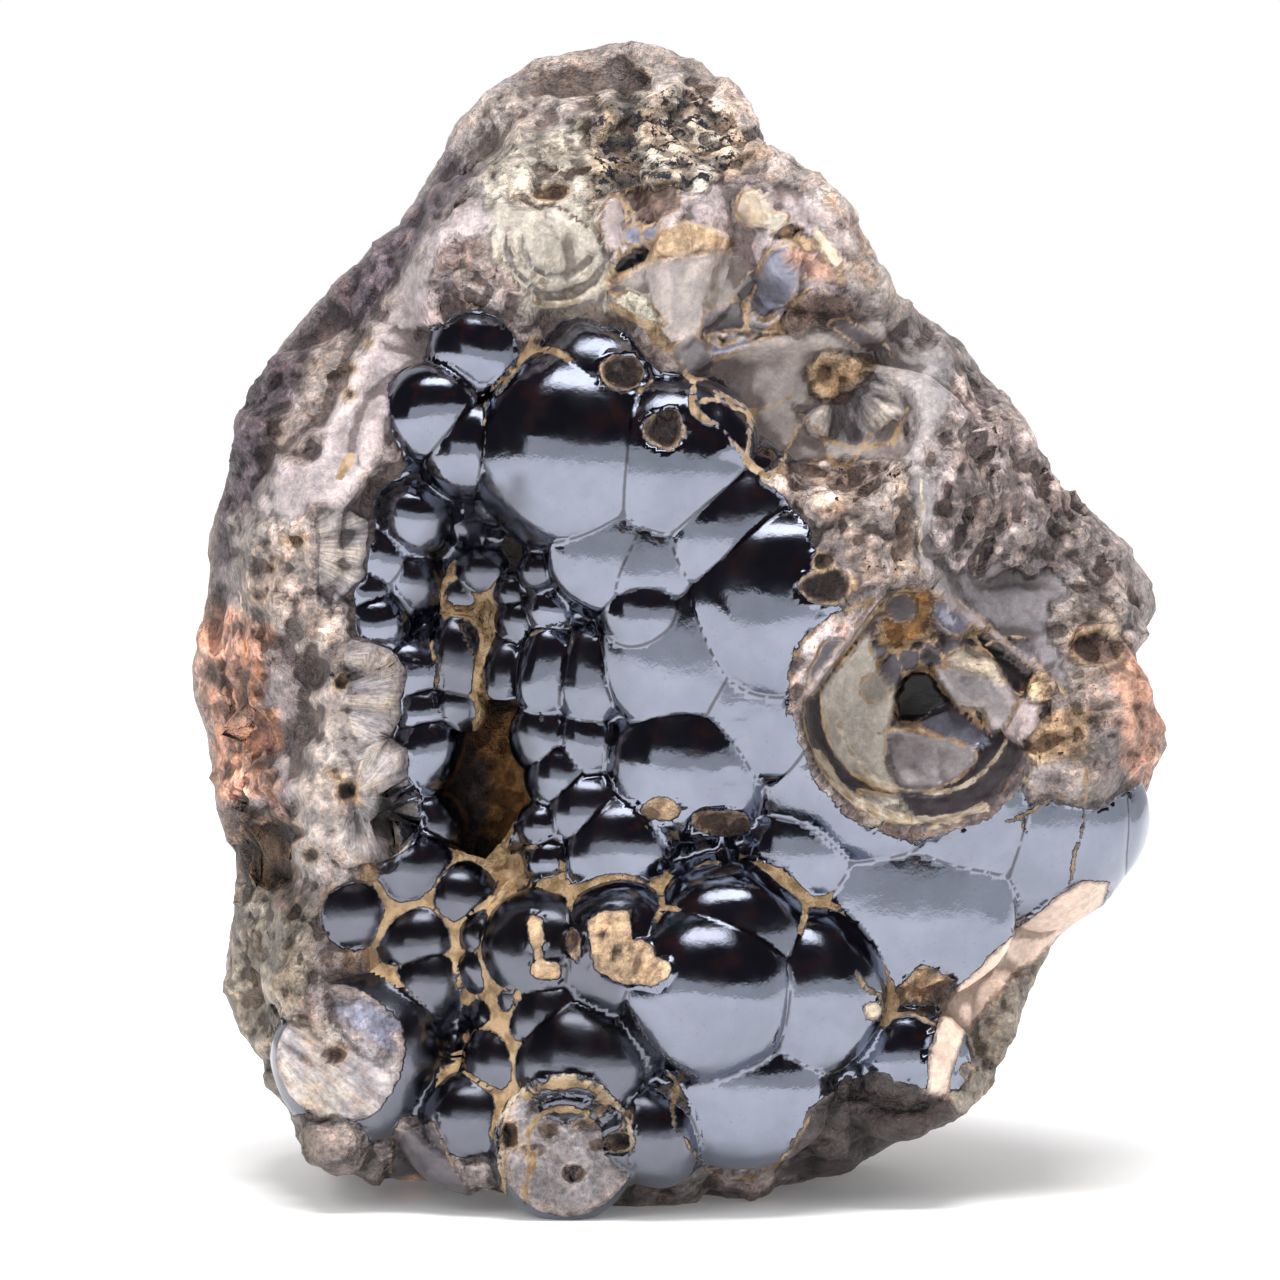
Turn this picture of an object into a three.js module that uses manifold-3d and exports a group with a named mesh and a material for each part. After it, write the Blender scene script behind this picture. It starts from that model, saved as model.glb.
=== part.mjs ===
// Botryoidal hematite: one broken, free-standing piece of kidney ore.
// Every length is in millimetres. The piece is laid out in a face frame (x to the right,
// h up the main face, d going in from the foremost lobe) that leans back by LEAN, and is
// turned into +Z up, -Y front at the end.
import * as THREE from 'three';
import { mergeVertices } from 'three/addons/utils/BufferGeometryUtils.js';
import Module from 'manifold-3d';

// ---------------------------------------------------------------- driving dimensions
const LEAN = THREE.MathUtils.degToRad(6); // the face leans back by this much
const HEART = { x: -1, h: 41, d: 33 }; // middle of the stone
const REACH = 80; // no point of the stone is farther from its middle
const GIRTH = { x: 38, h: 46, d: 31 }; // half width, half height and half depth
const FRONT_BIAS = 0.42; // the lobed side is modelled finer than the back
const FACETS = 21; // subdivisions of the twenty-sided start form
const EASE_ROUNDS = 14; // how often the facets are evened out
const CENTRE_SHIFT = { x: 0, y: 35.4 }; // puts the origin under the middle of the piece
const BACK_DEPTH = 60; // farthest point of the back
const WIDEST_DEPTH = 27; // depth of the widest outline
const GIRDLE_FRONT = 0.024; // how fast the sides close towards the front
const GIRDLE_BACK = 0.021; // and towards the back
const GIRDLE_FOOT = 0.004; // near the foot they stay upright
const FOOT_TOP = 16; // height where the foot begins
const MATRIX_SOFTNESS = 2.2; // rounding between two broken faces
const HOLLOW_SOFTNESS = 0.6; // rounding of a hollow's rim
const OUTLINE_SOFTNESS = 0.8; // rounding where the stone meets its outline
const ROUGHNESS = [
  { size: 14, height: 1.5 },
  { size: 6.5, height: 0.8 },
];
const CREASE_REACH = 0.42; // corners this near a crease, in facet lengths, move onto it

// Outline of the piece seen from the front, [x, h], clockwise from the top.
const OUTLINE = [
  [-3.8, 91.9], [1.6, 90.2], [5.1, 87.1], [7, 82.8], [11.6, 80.2], [13.2, 78.6],
  [14.7, 74.8], [17, 71.3], [21.6, 68.6], [25.5, 63.6], [28.5, 59], [30.8, 56.3],
  [34.7, 52.8], [37, 49.8], [37.2, 47.5], [35.5, 44.4], [36.2, 41.3], [38.2, 37.5],
  [36.2, 33.6], [34.7, 29.8], [33.2, 26.7], [32.8, 24.8], [29.3, 22.1], [27, 17.5],
  [24.7, 12.8], [23.5, 10.2], [22, 8.6], [19.3, 7.5], [16.6, 5.9], [13.2, 4],
  [10.1, 3.2], [7.8, 2.8], [3.2, 1.3], [-3, 0.9], [-9.2, 0.2], [-11.5, 0.2],
  [-14.5, 1.3], [-17.6, 2.8], [-21.8, 3.2], [-26.8, 4.4], [-28.4, 5.2], [-30.3, 9],
  [-32.2, 12.8], [-34.2, 15.2], [-35.3, 18.2], [-34.5, 25.2], [-34.2, 27.5],
  [-36.1, 32.8], [-36.5, 35.9], [-38.2, 42.8], [-37.2, 46.7], [-36.5, 50.5],
  [-36.8, 52.8], [-34.9, 57.5], [-33.4, 63.6], [-31.5, 67.5], [-26.8, 72.8],
  [-21.5, 77.5], [-19.2, 81.7], [-17.6, 85.2], [-13.8, 88.6], [-11.5, 90.2],
  [-8.4, 90.9],
];

// Polished kidney lobes: name, x, h, radius, depth of the lobe's front, and how many times
// wider than deep the lobe is.
const LOBES = [
  ['crown', -6, 63.8, 6.8, 6, 1],
  ['brow_left', -7.9, 59.6, 8.4, 4.2, 1.3],
  ['brow_right', -0.6, 58.6, 7.2, 4.2, 1.3],
  ['brow_end', 3.6, 53.6, 7.6, 4.9, 1.2],
  ['fold_top', -4.6, 52.6, 5.7, 6, 2.6],
  ['fold_side', -10.8, 50.6, 1.7, 8.6, 1],
  ['fold_mid', -1.8, 51.6, 4.8, 5.9, 3.4],
  ['chest_top', -2.2, 47.2, 4.4, 5.8, 1.2],
  ['chest', 1.6, 44.6, 7.8, 6, 3],
  ['dome', 8.2, 47.6, 9, 3.4, 1.25],
  ['dome_foot', 6.6, 42.4, 8, 6, 3],
  ['rib_a', -6.9, 43, 3.2, 8, 1.2],
  ['rib_b', -10.2, 43.4, 3.4, 9, 1.3],
  ['rib_c', -9.9, 39.2, 2.7, 9.4, 1.2],
  ['rib_d', -9.4, 36.4, 3.5, 9, 1.2],
  ['rib_e', -6.9, 38.8, 2.9, 8.2, 1],
  ['rib_f', -13, 43.4, 2.8, 10.2, 1],
  ['rib_g', -12.6, 48.6, 1.9, 10.8, 1],
  ['rib_h', -12.3, 46.6, 2.1, 10.4, 1],
  ['rib_i', -9.9, 47.4, 2.4, 9.2, 1],
  ['heart', 0.8, 35.9, 7.4, 5.9, 1.1],
  ['heart_right', 14, 36.4, 10.4, 6.3, 1.35],
  ['sill_a', -7, 32, 3.7, 8.2, 1],
  ['sill_b', -4.6, 29, 4.6, 7.2, 1.2],
  ['sill_c', -9.9, 28.4, 2, 9.2, 1],
  ['sill_d', -10.6, 31, 1.9, 9.4, 1],
  ['sill_e', -12.2, 31, 2.1, 10.8, 1],
  ['sill_f', 9.8, 29.2, 5, 8.4, 1.3],
  ['belly_back', 3.6, 21.8, 6.7, 3, 1],
  ['belly', 2.2, 18.4, 7.5, 1, 1],
  ['cheek_a', -4.6, 21.2, 5.6, 3.4, 1],
  ['cheek_b', -10, 21.2, 5.3, 5, 1],
  ['lip_a', -9.4, 16.2, 4.4, 5, 1],
  ['lip_b', -7.4, 13, 5.6, 3.4, 1],
  ['lip_c', -13.1, 13, 3.2, 6.8, 1],
  ['bead', -15.7, 8.8, 3.5, 6.6, 1],
  ['toe_left', -2.4, 7.6, 4.4, 4.6, 1],
  ['toe', 5, 11.3, 6.9, 5, 1.2],
  ['hip', 8.8, 18.2, 7, 4.5, 1.2],
  ['hip_top', 16.6, 26.2, 9.6, 9.2, 2.4],
  ['hip_low', 17.6, 13.2, 4.6, 9.8, 1.3],
  ['shoulder_a', 20.5, 33.5, 12.6, 8.4, 1],
  ['shoulder_b', 26.8, 31.4, 8.8, 10.2, 1],
  ['edge_lobe', 30.8, 31.4, 5.8, 13.6, 1],
  ['grape_a', -25.6, 24.2, 3.6, 10.4, 1],
  ['grape_b', -20.4, 27.6, 3.6, 10.4, 1],
  ['grape_c', -16.6, 25.1, 2.9, 10.2, 1],
  ['grape_d', -19.8, 21.8, 3.2, 9.8, 1],
  ['grape_e', -19.4, 19, 3.1, 9.5, 1],
  ['grape_f', -14.4, 22.3, 2, 8.8, 1],
  ['grape_g', -14.7, 19.7, 1.9, 8.8, 1],
  ['grape_h', -14.2, 16.4, 1.6, 8.6, 1],
  ['grape_i', -11.9, 17.8, 2.2, 6.6, 1],
  ['left_a', -18.6, 62.6, 4.2, 7.6, 1],
  ['left_b', -15.8, 60, 4.2, 7.4, 1],
  ['left_c', -15, 67.4, 4.5, 8.2, 1],
  ['left_d', -20.2, 54.6, 3.5, 10, 1],
  ['left_e', -19.7, 37.2, 3.5, 10.8, 1],
  ['left_f', -20.2, 39.6, 2.5, 11.2, 1],
  ['left_g', -23.6, 46.2, 2.3, 10.2, 1],
  ['left_h', -19.4, 31, 3.2, 12, 1],
  ['left_i', -17, 43.2, 2.8, 11.6, 1],
  ['left_j', -21, 42.6, 2.7, 11.2, 1],
  ['left_k', -24.6, 48.6, 2.3, 10.6, 1],
  ['left_l', -23.2, 51.4, 2.7, 10.8, 1],
  ['left_m', -20.8, 49.6, 2.4, 11.2, 1],
  ['left_n', -17.6, 40.2, 2.1, 11.8, 1],
  ['left_o', -13.6, 55.8, 2.3, 9, 1],
  ['pearl', -14.8, 50.4, 2.3, 11.4, 1],
  ['pearl_b', -16.6, 48.6, 1.9, 12.2, 1],
];

// Lobes with their front knocked off: name, x, h, radius, depth of the whole lobe's front,
// way the break faces and how far the break lies from the lobe's middle.
const BROKEN_LOBES = [
  ['broken_left', -24.2, 13.2, 7.0, 7.0, [-0.34, 0.06, -0.94], 5.0],
  ['broken_toe', -8.5, 6.8, 6.1, 3.2, [0.02, -0.1, -0.99], 3.1],
];

// Rough lumps of crust and matrix: name, x, h, radius, depth of the lump's front.
const LUMPS = [
  ['crust_top', 12.8, 54.2, 6.2, 5.2],
  ['crust_side', 15.4, 52.0, 5.0, 6.2],
  ['ledge_left', 0.6, 74.6, 8.6, 7.8],
  ['ledge_mid', 7.4, 74.8, 7.6, 8.4],
  ['ledge_right', 12.6, 72.4, 5.0, 10.8],
  ['sponge_left', -3.4, 82.0, 6.0, 13.4],
  ['sponge_right', 3.4, 82.0, 6.0, 14.6],
  ['shell_stump', -9.2, 75.2, 5.4, 8.2],
  ['bleached', -9.6, 80.6, 5.0, 11.6],
  ['crumb_left', -15.4, 72.4, 5.0, 8.4],
  ['cheek_crust', 30.0, 44.6, 6.0, 15.8],
  ['keel', 21.0, 18.0, 7.0, 13.6],
  ['shoulder_crust', 31.0, 40.4, 5.6, 12.4],
];

// Broken faces of the front: each starts at `depth` on the line through `at` and falls
// back by `fall` for each millimetre along `to`.
const FRONT_FACES = [
  { at: [0, 0], to: [0, 1], depth: 8.8, fall: 0 },
  { at: [17, 0], to: [1, 0], depth: 9, fall: 0.86 },
  { at: [0, 71], to: [0, 1], depth: 9.2, fall: 0.72 },
  { at: [-21, 55], to: [-0.82, 0.57], depth: 8.8, fall: 0.5 },
  { at: [20, 10.2], to: [0.8, -0.6], depth: 13, fall: 2.6 },
  { at: [12, 10.2], to: [0.08, -1], depth: 8.2, fall: 1.5 },
  { at: [-24, 6.4], to: [-0.12, -1], depth: 11, fall: 3.6 },
];

// Broken faces of the back: a point on each and the way it faces.
const BACK_FACES = [
  { at: [0, 40, BACK_DEPTH], facing: [0.05, 0.02, 1] },
  { at: [0, 80, 52], facing: [0.08, 0.78, 0.62] },
  { at: [-27, 40, 47], facing: [-0.8, 0.05, 0.6] },
  { at: [26, 44, 47], facing: [0.74, -0.08, 0.66] },
  { at: [18, 16, 44], facing: [0.62, -0.5, 0.6] },
  { at: [-16, 12, 55], facing: [-0.35, -0.42, 0.84] },
];

// Hollows: two ends, radius. They are cut before the lobes grow over them.
const HOLLOWS = [
  { from: [-17.6, 31, 7.6], to: [-18.6, 53, 7.2], radius: 7.4 },
  { from: [-14.4, 31.5, 13.6], to: [-14.0, 45, 13.4], radius: 5.2 },
  { from: [6.0, 62.4, 6.4], to: [12.4, 62.4, 7.0], radius: 6.0 },
  { from: [-32.0, 27.6, 21.0], to: [-31.4, 28.4, 24.0], radius: 2.6 },
  { from: [-22.0, 23.5, 0.0], to: [-17.0, 14.0, -0.5], radius: 12.2 },
  { from: [-3.6, 56, 1.0], to: [-1.0, 28, 1.0], radius: 12.0 },
  { from: [-17.4, 62.0, 3.6], to: [-16.6, 66.0, 3.6], radius: 7.4 },
  { from: [4.0, 30.0, 0.0], to: [16.0, 24.0, 0.0], radius: 12.2 },
  { from: [16.0, 24.0, 0.0], to: [16.6, 15.4, 1.0], radius: 12.2 },
];

// The hollow broken lobe on the right: its bowl and the two straight broken edges.
const BOWL = { x: 18.9, h: 40.0, d: 5.6, radius: 9.6 };
const BOWL_EDGES = [
  { at: [13.2, 45.4], facing: [-0.81, 0.59] },
  { at: [24.3, 45.0], facing: [0.63, 0.78] },
];

// ---------------------------------------------------------------- shape of the stone
const mix = (a, b, t) => a + (b - a) * t;
const clamp01 = (t) => Math.min(1, Math.max(0, t));
const ease = (t) => t * t * (3 - 2 * t);

/** Random number in 0..1 that belongs to one corner of the noise grid. */
function cornerValue(i, j, k) {
  const wave = Math.sin(i * 127.1 + j * 311.7 + k * 74.7) * 43758.5453;
  return wave - Math.floor(wave);
}

/** Smooth lumps between -1 and 1, about one grid step wide. */
function lumps(x, y, z) {
  const [i, j, k] = [Math.floor(x), Math.floor(y), Math.floor(z)];
  const [u, v, w] = [ease(x - i), ease(y - j), ease(z - k)];
  const edge = (b, c) => mix(cornerValue(i, j + b, k + c), cornerValue(i + 1, j + b, k + c), u);
  const level = (c) => mix(edge(0, c), edge(1, c), v);
  return mix(level(0), level(1), w) * 2 - 1;
}

/** Unevenness of a broken face: lumps with sharp ridges between them. */
function unevenness(x, h, d) {
  let sum = 0;
  for (const { size, height } of ROUGHNESS) {
    const fold = Math.abs(lumps(x / size + 3.1, h / size + 7.7, d / size + 1.3));
    sum += height * (0.5 - 3 * fold);
  }
  return sum;
}

/** The larger of two distances with a rounded change-over. */
function roundedMax(a, b, width) {
  const t = Math.max(width - Math.abs(a - b), 0) / width;
  return Math.max(a, b) + (t * t * width) / 4;
}

/** How far a point lies inside the outline; negative outside. */
function insideOutline(x, h) {
  let nearest = Infinity;
  let inside = false;
  OUTLINE.forEach(([ax, ah], i) => {
    const [bx, bh] = OUTLINE[(i + 1) % OUTLINE.length];
    const [ex, eh] = [bx - ax, bh - ah];
    const t = clamp01(((x - ax) * ex + (h - ah) * eh) / (ex * ex + eh * eh));
    nearest = Math.min(nearest, Math.hypot(x - ax - t * ex, h - ah - t * eh));
    if (ah > h !== bh > h && x < ax + ((h - ah) / eh) * ex) {
      inside = !inside;
    }
  });
  return inside ? nearest : -nearest;
}

/** Signed distance to a round-ended cylinder. */
function toCapsule(p, from, to, radius) {
  const e = to.map((v, i) => v - from[i]);
  const q = p.map((v, i) => v - from[i]);
  const along = e[0] * q[0] + e[1] * q[1] + e[2] * q[2];
  const t = clamp01(along / (e[0] * e[0] + e[1] * e[1] + e[2] * e[2]));
  return Math.hypot(q[0] - t * e[0], q[1] - t * e[1], q[2] - t * e[2]) - radius;
}

/** Rough body that carries the lobes; negative inside. */
function matrixBody(x, h, d) {
  const foot = ease(clamp01((FOOT_TOP - h) / FOOT_TOP));
  const t = d - WIDEST_DEPTH;
  const closing = mix(t < 0 ? GIRDLE_FRONT : GIRDLE_BACK, GIRDLE_FOOT, foot);
  const inside = insideOutline(x, h);
  let field = closing * t * t - inside;
  for (const face of FRONT_FACES) {
    const along = (x - face.at[0]) * face.to[0] + (h - face.at[1]) * face.to[1];
    const gap = (face.depth + face.fall * along - d) / Math.hypot(1, face.fall);
    field = roundedMax(field, gap, MATRIX_SOFTNESS);
  }
  for (const { at, facing } of BACK_FACES) {
    const size = Math.hypot(...facing);
    const dot = (x - at[0]) * facing[0] + (h - at[1]) * facing[1] + (d - at[2]) * facing[2];
    field = roundedMax(field, dot / size, MATRIX_SOFTNESS);
  }
  for (const [, lx, lh, r, front] of LUMPS) {
    const ball = Math.hypot(x - lx, h - lh, d - front - r) - r;
    field = -roundedMax(-field, -ball, MATRIX_SOFTNESS);
  }
  field += unevenness(x, h, d);
  for (const { from, to, radius } of HOLLOWS) {
    field = roundedMax(field, -toCapsule([x, h, d], from, to, radius), HOLLOW_SOFTNESS);
  }
  return roundedMax(field, -inside, OUTLINE_SOFTNESS);
}

/** Distances to every lobe, whole and broken; negative inside. */
function lobeGaps(x, h, d) {
  const whole = LOBES.map(([, lx, lh, r, front, flat]) => {
    const q = [x - lx, h - lh, d - front - r / flat];
    const k = Math.hypot(q[0] / r, q[1] / r, (q[2] * flat) / r);
    const steepness = Math.hypot(q[0] / r, q[1] / r, (q[2] * flat * flat) / r) / r;
    return (k * (k - 1)) / Math.max(steepness, 1e-6);
  });
  const broken = BROKEN_LOBES.map(([, lx, lh, r, front, facing, offset]) => {
    const q = [x - lx, h - lh, d - front - r];
    const above = q[0] * facing[0] + q[1] * facing[1] + q[2] * facing[2] - offset;
    return Math.max(Math.hypot(...q) - r, above);
  });
  return whole.concat(broken);
}

/** The bowl of the hollow lobe; negative inside the hollow. */
function bowlHollow(x, h, d) {
  let field = Math.hypot(x - BOWL.x, h - BOWL.h, d - BOWL.d) - BOWL.radius;
  for (const { at, facing } of BOWL_EDGES) {
    field = Math.max(field, (x - at[0]) * facing[0] + (h - at[1]) * facing[1]);
  }
  return field;
}

/** Signed distance to the whole piece before its foot is cut flat. */
function stone(x, h, d) {
  const whole = Math.min(matrixBody(x, h, d), ...lobeGaps(x, h, d));
  return Math.max(whole, -bowlHollow(x, h, d));
}

/** Outward direction of the surface at a point. */
function outward(p) {
  const s = 0.15;
  return new THREE.Vector3(
    stone(p.x + s, p.y, p.z) - stone(p.x - s, p.y, p.z),
    stone(p.x, p.y + s, p.z) - stone(p.x, p.y - s, p.z),
    stone(p.x, p.y, p.z + s) - stone(p.x, p.y, p.z - s),
  ).normalize();
}

/** First point of the surface met when coming in from outside along a direction. */
function surfacePoint(direction) {
  const at = (r) => [
    HEART.x + r * direction.x,
    HEART.h + r * direction.y,
    HEART.d + r * direction.z,
  ];
  let r = REACH;
  let gap = stone(...at(r));
  while (gap > 0.02 && r > 4) {
    r -= Math.max(0.04, 0.55 * gap);
    gap = stone(...at(r));
  }
  return new THREE.Vector3(...at(r));
}

// ---------------------------------------------------------------- facets
const start = new THREE.IcosahedronGeometry(1, FACETS);
start.deleteAttribute('normal');
start.deleteAttribute('uv');
const net = mergeVertices(start, 1e-4);
const corners = [];
for (let i = 0; i < net.attributes.position.count; i += 1) {
  const v = new THREE.Vector3().fromBufferAttribute(net.attributes.position, i);
  v.z -= FRONT_BIAS;
  v.multiply(new THREE.Vector3(GIRTH.x, GIRTH.h, GIRTH.d)).normalize();
  corners.push(surfacePoint(v));
}
const neighbours = corners.map(() => new Set());
for (let i = 0; i < net.index.count; i += 3) {
  const [a, b, c] = [net.index.getX(i), net.index.getX(i + 1), net.index.getX(i + 2)];
  neighbours[a].add(b).add(c);
  neighbours[b].add(a).add(c);
  neighbours[c].add(a).add(b);
}

/** Moves a point onto the surface along the surface's own direction. */
function settle(p, facing) {
  for (let turn = 0; turn < 3; turn += 1) {
    const gap = THREE.MathUtils.clamp(stone(p.x, p.y, p.z), -0.8, 0.8);
    p.addScaledVector(facing, -0.8 * gap);
  }
}

for (let round = 0; round < EASE_ROUNDS; round += 1) {
  const moved = corners.map((p, i) => {
    const middle = new THREE.Vector3();
    neighbours[i].forEach((j) => middle.add(corners[j]));
    middle.divideScalar(neighbours[i].size).sub(p);
    const facing = outward(p);
    middle.addScaledVector(facing, -middle.dot(facing));
    const next = p.clone().addScaledVector(middle, 0.5);
    settle(next, facing);
    return next;
  });
  moved.forEach((p, i) => corners[i].copy(p));
}

/** Moves a corner near the crease of two whole lobes onto that crease. */
function sharpen(p, reach) {
  const gaps = lobeGaps(p.x, p.y, p.z);
  const order = gaps.map((gap, i) => i).sort((i, j) => gaps[i] - gaps[j]).slice(0, 2);
  const [first, second] = order.map((i) => LOBES[i]);
  const onLobe = Math.abs(gaps[order[0]]) < 0.1 && stone(p.x, p.y, p.z) > -0.1;
  if (!onLobe || !first || !second || gaps[order[1]] > reach) {
    return;
  }
  const away = [first, second].map(([, lx, lh, r, front, flat]) => (
    new THREE.Vector3(p.x - lx, p.y - lh, (p.z - front - r / flat) * flat * flat).normalize()
  ));
  const cosine = away[0].dot(away[1]);
  const share = 1 - cosine * cosine;
  if (share < 0.06) {
    return;
  }
  const [g0, g1] = order.map((i) => -gaps[i]);
  const move = away[0].clone().multiplyScalar((g0 - cosine * g1) / share);
  move.addScaledVector(away[1], (g1 - cosine * g0) / share);
  if (move.length() < 1.6 * reach) {
    p.add(move);
  }
}

corners.forEach((p, i) => {
  let span = 0;
  neighbours[i].forEach((j) => { span += corners[j].distanceTo(p); });
  sharpen(p, (CREASE_REACH * span) / neighbours[i].size);
});

// ---------------------------------------------------------------- closed solid
const wasm = await Module();
wasm.setup();

/** Turns the face frame into the standing frame. */
function standing(p) {
  return [
    p.x - CENTRE_SHIFT.x,
    p.z * Math.cos(LEAN) + p.y * Math.sin(LEAN) - CENTRE_SHIFT.y,
    p.y * Math.cos(LEAN) - p.z * Math.sin(LEAN),
  ];
}

/** Makes a manifold solid of loose corner and triangle lists. */
function solidOf(vertProperties, triVerts) {
  return new wasm.Manifold(new wasm.Mesh({
    numProp: 3,
    vertProperties: Float32Array.from(vertProperties),
    triVerts: Uint32Array.from(triVerts),
  }));
}

/** Makes a manifold solid of a three.js geometry. */
function solidOfGeometry(geometry) {
  geometry.deleteAttribute('normal');
  geometry.deleteAttribute('uv');
  const merged = mergeVertices(geometry, 1e-4);
  return solidOf(merged.attributes.position.array, merged.index.array);
}

const facesOut = [];
for (let i = 0; i < net.index.count; i += 3) {
  // the standing frame swaps two axes, so each triangle is turned over
  facesOut.push(net.index.getX(i), net.index.getX(i + 2), net.index.getX(i + 1));
}
const rough = solidOf(corners.flatMap(standing), facesOut);
const room = new THREE.BoxGeometry(2 * REACH, 2 * REACH, 2 * REACH);
room.translate(0, 0, REACH);
const finished = rough.intersect(solidOfGeometry(room));

const mesh = finished.getMesh();
const geometry = new THREE.BufferGeometry();
geometry.setAttribute('position', new THREE.BufferAttribute(mesh.vertProperties, 3));
geometry.setIndex(new THREE.BufferAttribute(mesh.triVerts, 1));
geometry.computeVertexNormals();

const hematite = new THREE.Mesh(
  geometry,
  new THREE.MeshStandardMaterial({ color: 0x4b4d54, roughness: 0.28, metalness: 0.7 }),
);
hematite.name = 'hematite';

const group = new THREE.Group();
group.name = 'botryoidal_hematite';
group.add(hematite);

export default group;
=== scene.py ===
"""Botryoidal hematite: one broken, free-standing piece of kidney ore.

Lengths are in millimetres unless a name says otherwise. The stone is laid out in a face
frame (x to the right, h up the main face, d going in from the foremost lobe) that leans
back a little; FaceFrame turns it into the standing frame, in metres.
"""

import logging
import math
from dataclasses import dataclass, field
from enum import Enum
from itertools import product
from typing import Any, Iterable, Sequence

import bpy
import numpy as np
from mathutils import Matrix, Vector

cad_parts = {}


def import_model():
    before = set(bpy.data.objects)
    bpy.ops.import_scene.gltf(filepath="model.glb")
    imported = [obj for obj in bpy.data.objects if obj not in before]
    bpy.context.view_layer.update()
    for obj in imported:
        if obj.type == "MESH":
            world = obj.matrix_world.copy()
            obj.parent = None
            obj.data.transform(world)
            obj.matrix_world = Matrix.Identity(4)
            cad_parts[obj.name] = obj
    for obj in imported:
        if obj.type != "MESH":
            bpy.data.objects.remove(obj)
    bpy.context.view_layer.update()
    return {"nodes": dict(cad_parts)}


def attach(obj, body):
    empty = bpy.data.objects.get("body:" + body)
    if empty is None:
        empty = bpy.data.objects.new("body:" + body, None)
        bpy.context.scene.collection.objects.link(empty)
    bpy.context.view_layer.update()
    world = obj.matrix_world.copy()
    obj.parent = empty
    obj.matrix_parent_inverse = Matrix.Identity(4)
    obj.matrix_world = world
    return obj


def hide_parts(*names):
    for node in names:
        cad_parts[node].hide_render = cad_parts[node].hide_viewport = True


Array = np.ndarray
Point = tuple[float, float]
Place = tuple[float, float, float]
Socket = bpy.types.NodeSocket

MM = 0.001
NOISE_STEPS = (127.1, 311.7, 74.7)
NOISE_SCALE = 43758.5453
FAR = 9.0
log = logging.getLogger("hematite")


# ---- small helpers
def ease(t: Array) -> Array:
    """Smooth step of values that run from 0 to 1."""
    t = np.clip(t, 0.0, 1.0)
    return t * t * (3.0 - 2.0 * t)


def mix(a: Array, b: Array, t: Array) -> Array:
    """Blend from a to b as t goes from 0 to 1."""
    return a + (b - a) * t


def rounded_max(a: Array, b: Array, width: float) -> Array:
    """Larger of two distances with a rounded change-over.

    Args:
        a: First distances.
        b: Second distances.
        width: Width of the rounding.

    Returns:
        The rounded maximum.
    """
    t = np.maximum(width - np.abs(a - b), 0.0) / width
    return np.maximum(a, b) + t * t * width / 4.0


def lumps(points: Array, size: float, offset: Sequence[float]) -> Array:
    """Smooth lumps between -1 and 1, about one size wide.

    Args:
        points: Places, one row each.
        size: Width of a lump.
        offset: Shift of the pattern, in lumps.

    Returns:
        One value for each place.
    """
    q = points / size + np.asarray(offset)
    cell = np.floor(q)
    w = ease(q - cell)
    total = np.zeros(len(points))
    for corner in product((0, 1), repeat=3):
        wave = np.sin((cell + corner) @ np.asarray(NOISE_STEPS)) * NOISE_SCALE
        share = np.ones(len(points))
        for axis, high in enumerate(corner):
            share = share * (w[:, axis] if high else 1.0 - w[:, axis])
        total += (wave - np.floor(wave)) * share
    return total * 2.0 - 1.0


def corner_value(i: Array, j: Array, k: float) -> Array:
    """Random numbers from 0 to 1 that belong to the corners of a grid."""
    wave = np.sin(i * NOISE_STEPS[0] + j * NOISE_STEPS[1] + k * NOISE_STEPS[2]) * NOISE_SCALE
    return wave - np.floor(wave)


def line_gap(x: Array, h: Array, points: Sequence[Point], closed: bool = False) -> Array:
    """Distance from places on the face to a line of straight stretches.

    Args:
        x: Places to the right.
        h: Places up the face.
        points: Corners of the line.
        closed: Whether the last corner joins the first.

    Returns:
        Distances, never negative.
    """
    ends = list(zip(points, points[1:]))
    if closed or len(points) == 1:
        ends.append((points[-1], points[0]))
    nearest = np.full(np.shape(x), np.inf)
    for (ax, ah), (bx, bh) in ends:
        ex, eh = bx - ax, bh - ah
        size = max(ex * ex + eh * eh, 1e-12)
        t = np.clip(((x - ax) * ex + (h - ah) * eh) / size, 0.0, 1.0)
        nearest = np.minimum(nearest, np.hypot(x - ax - t * ex, h - ah - t * eh))
    return nearest


def area_gap(x: Array, h: Array, points: Sequence[Point]) -> Array:
    """Signed distance to an area with straight edges; negative inside.

    Args:
        x: Places to the right.
        h: Places up the face.
        points: Corners of the area; one or two corners make a dot or a line.

    Returns:
        Signed distances.
    """
    gap = line_gap(x, h, points, closed=len(points) > 2)
    inside = np.zeros(np.shape(x), dtype=bool)
    if len(points) > 2:
        for (ax, ah), (bx, bh) in zip(points, points[1:] + points[:1]):
            if ah != bh:
                crossing = (ah > h) != (bh > h)
                inside ^= crossing & (x < ax + (h - ah) / (bh - ah) * (bx - ax))
    return np.where(inside, -gap, gap)


def arc(x: float, h: float, radius: float, start: float, end: float) -> tuple[Point, ...]:
    """Points along an arc, one for every 12 degrees.

    Args:
        x: Middle of the arc, to the right.
        h: Middle of the arc, up the face.
        radius: Radius of the arc.
        start: First angle in degrees, from the right and anticlockwise.
        end: Last angle in degrees.

    Returns:
        The points.
    """
    count = max(int(abs(end - start) / 12), 2) + 1
    turns = np.radians(np.linspace(start, end, count))
    return tuple((x + radius * math.cos(t), h + radius * math.sin(t)) for t in turns)


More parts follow.
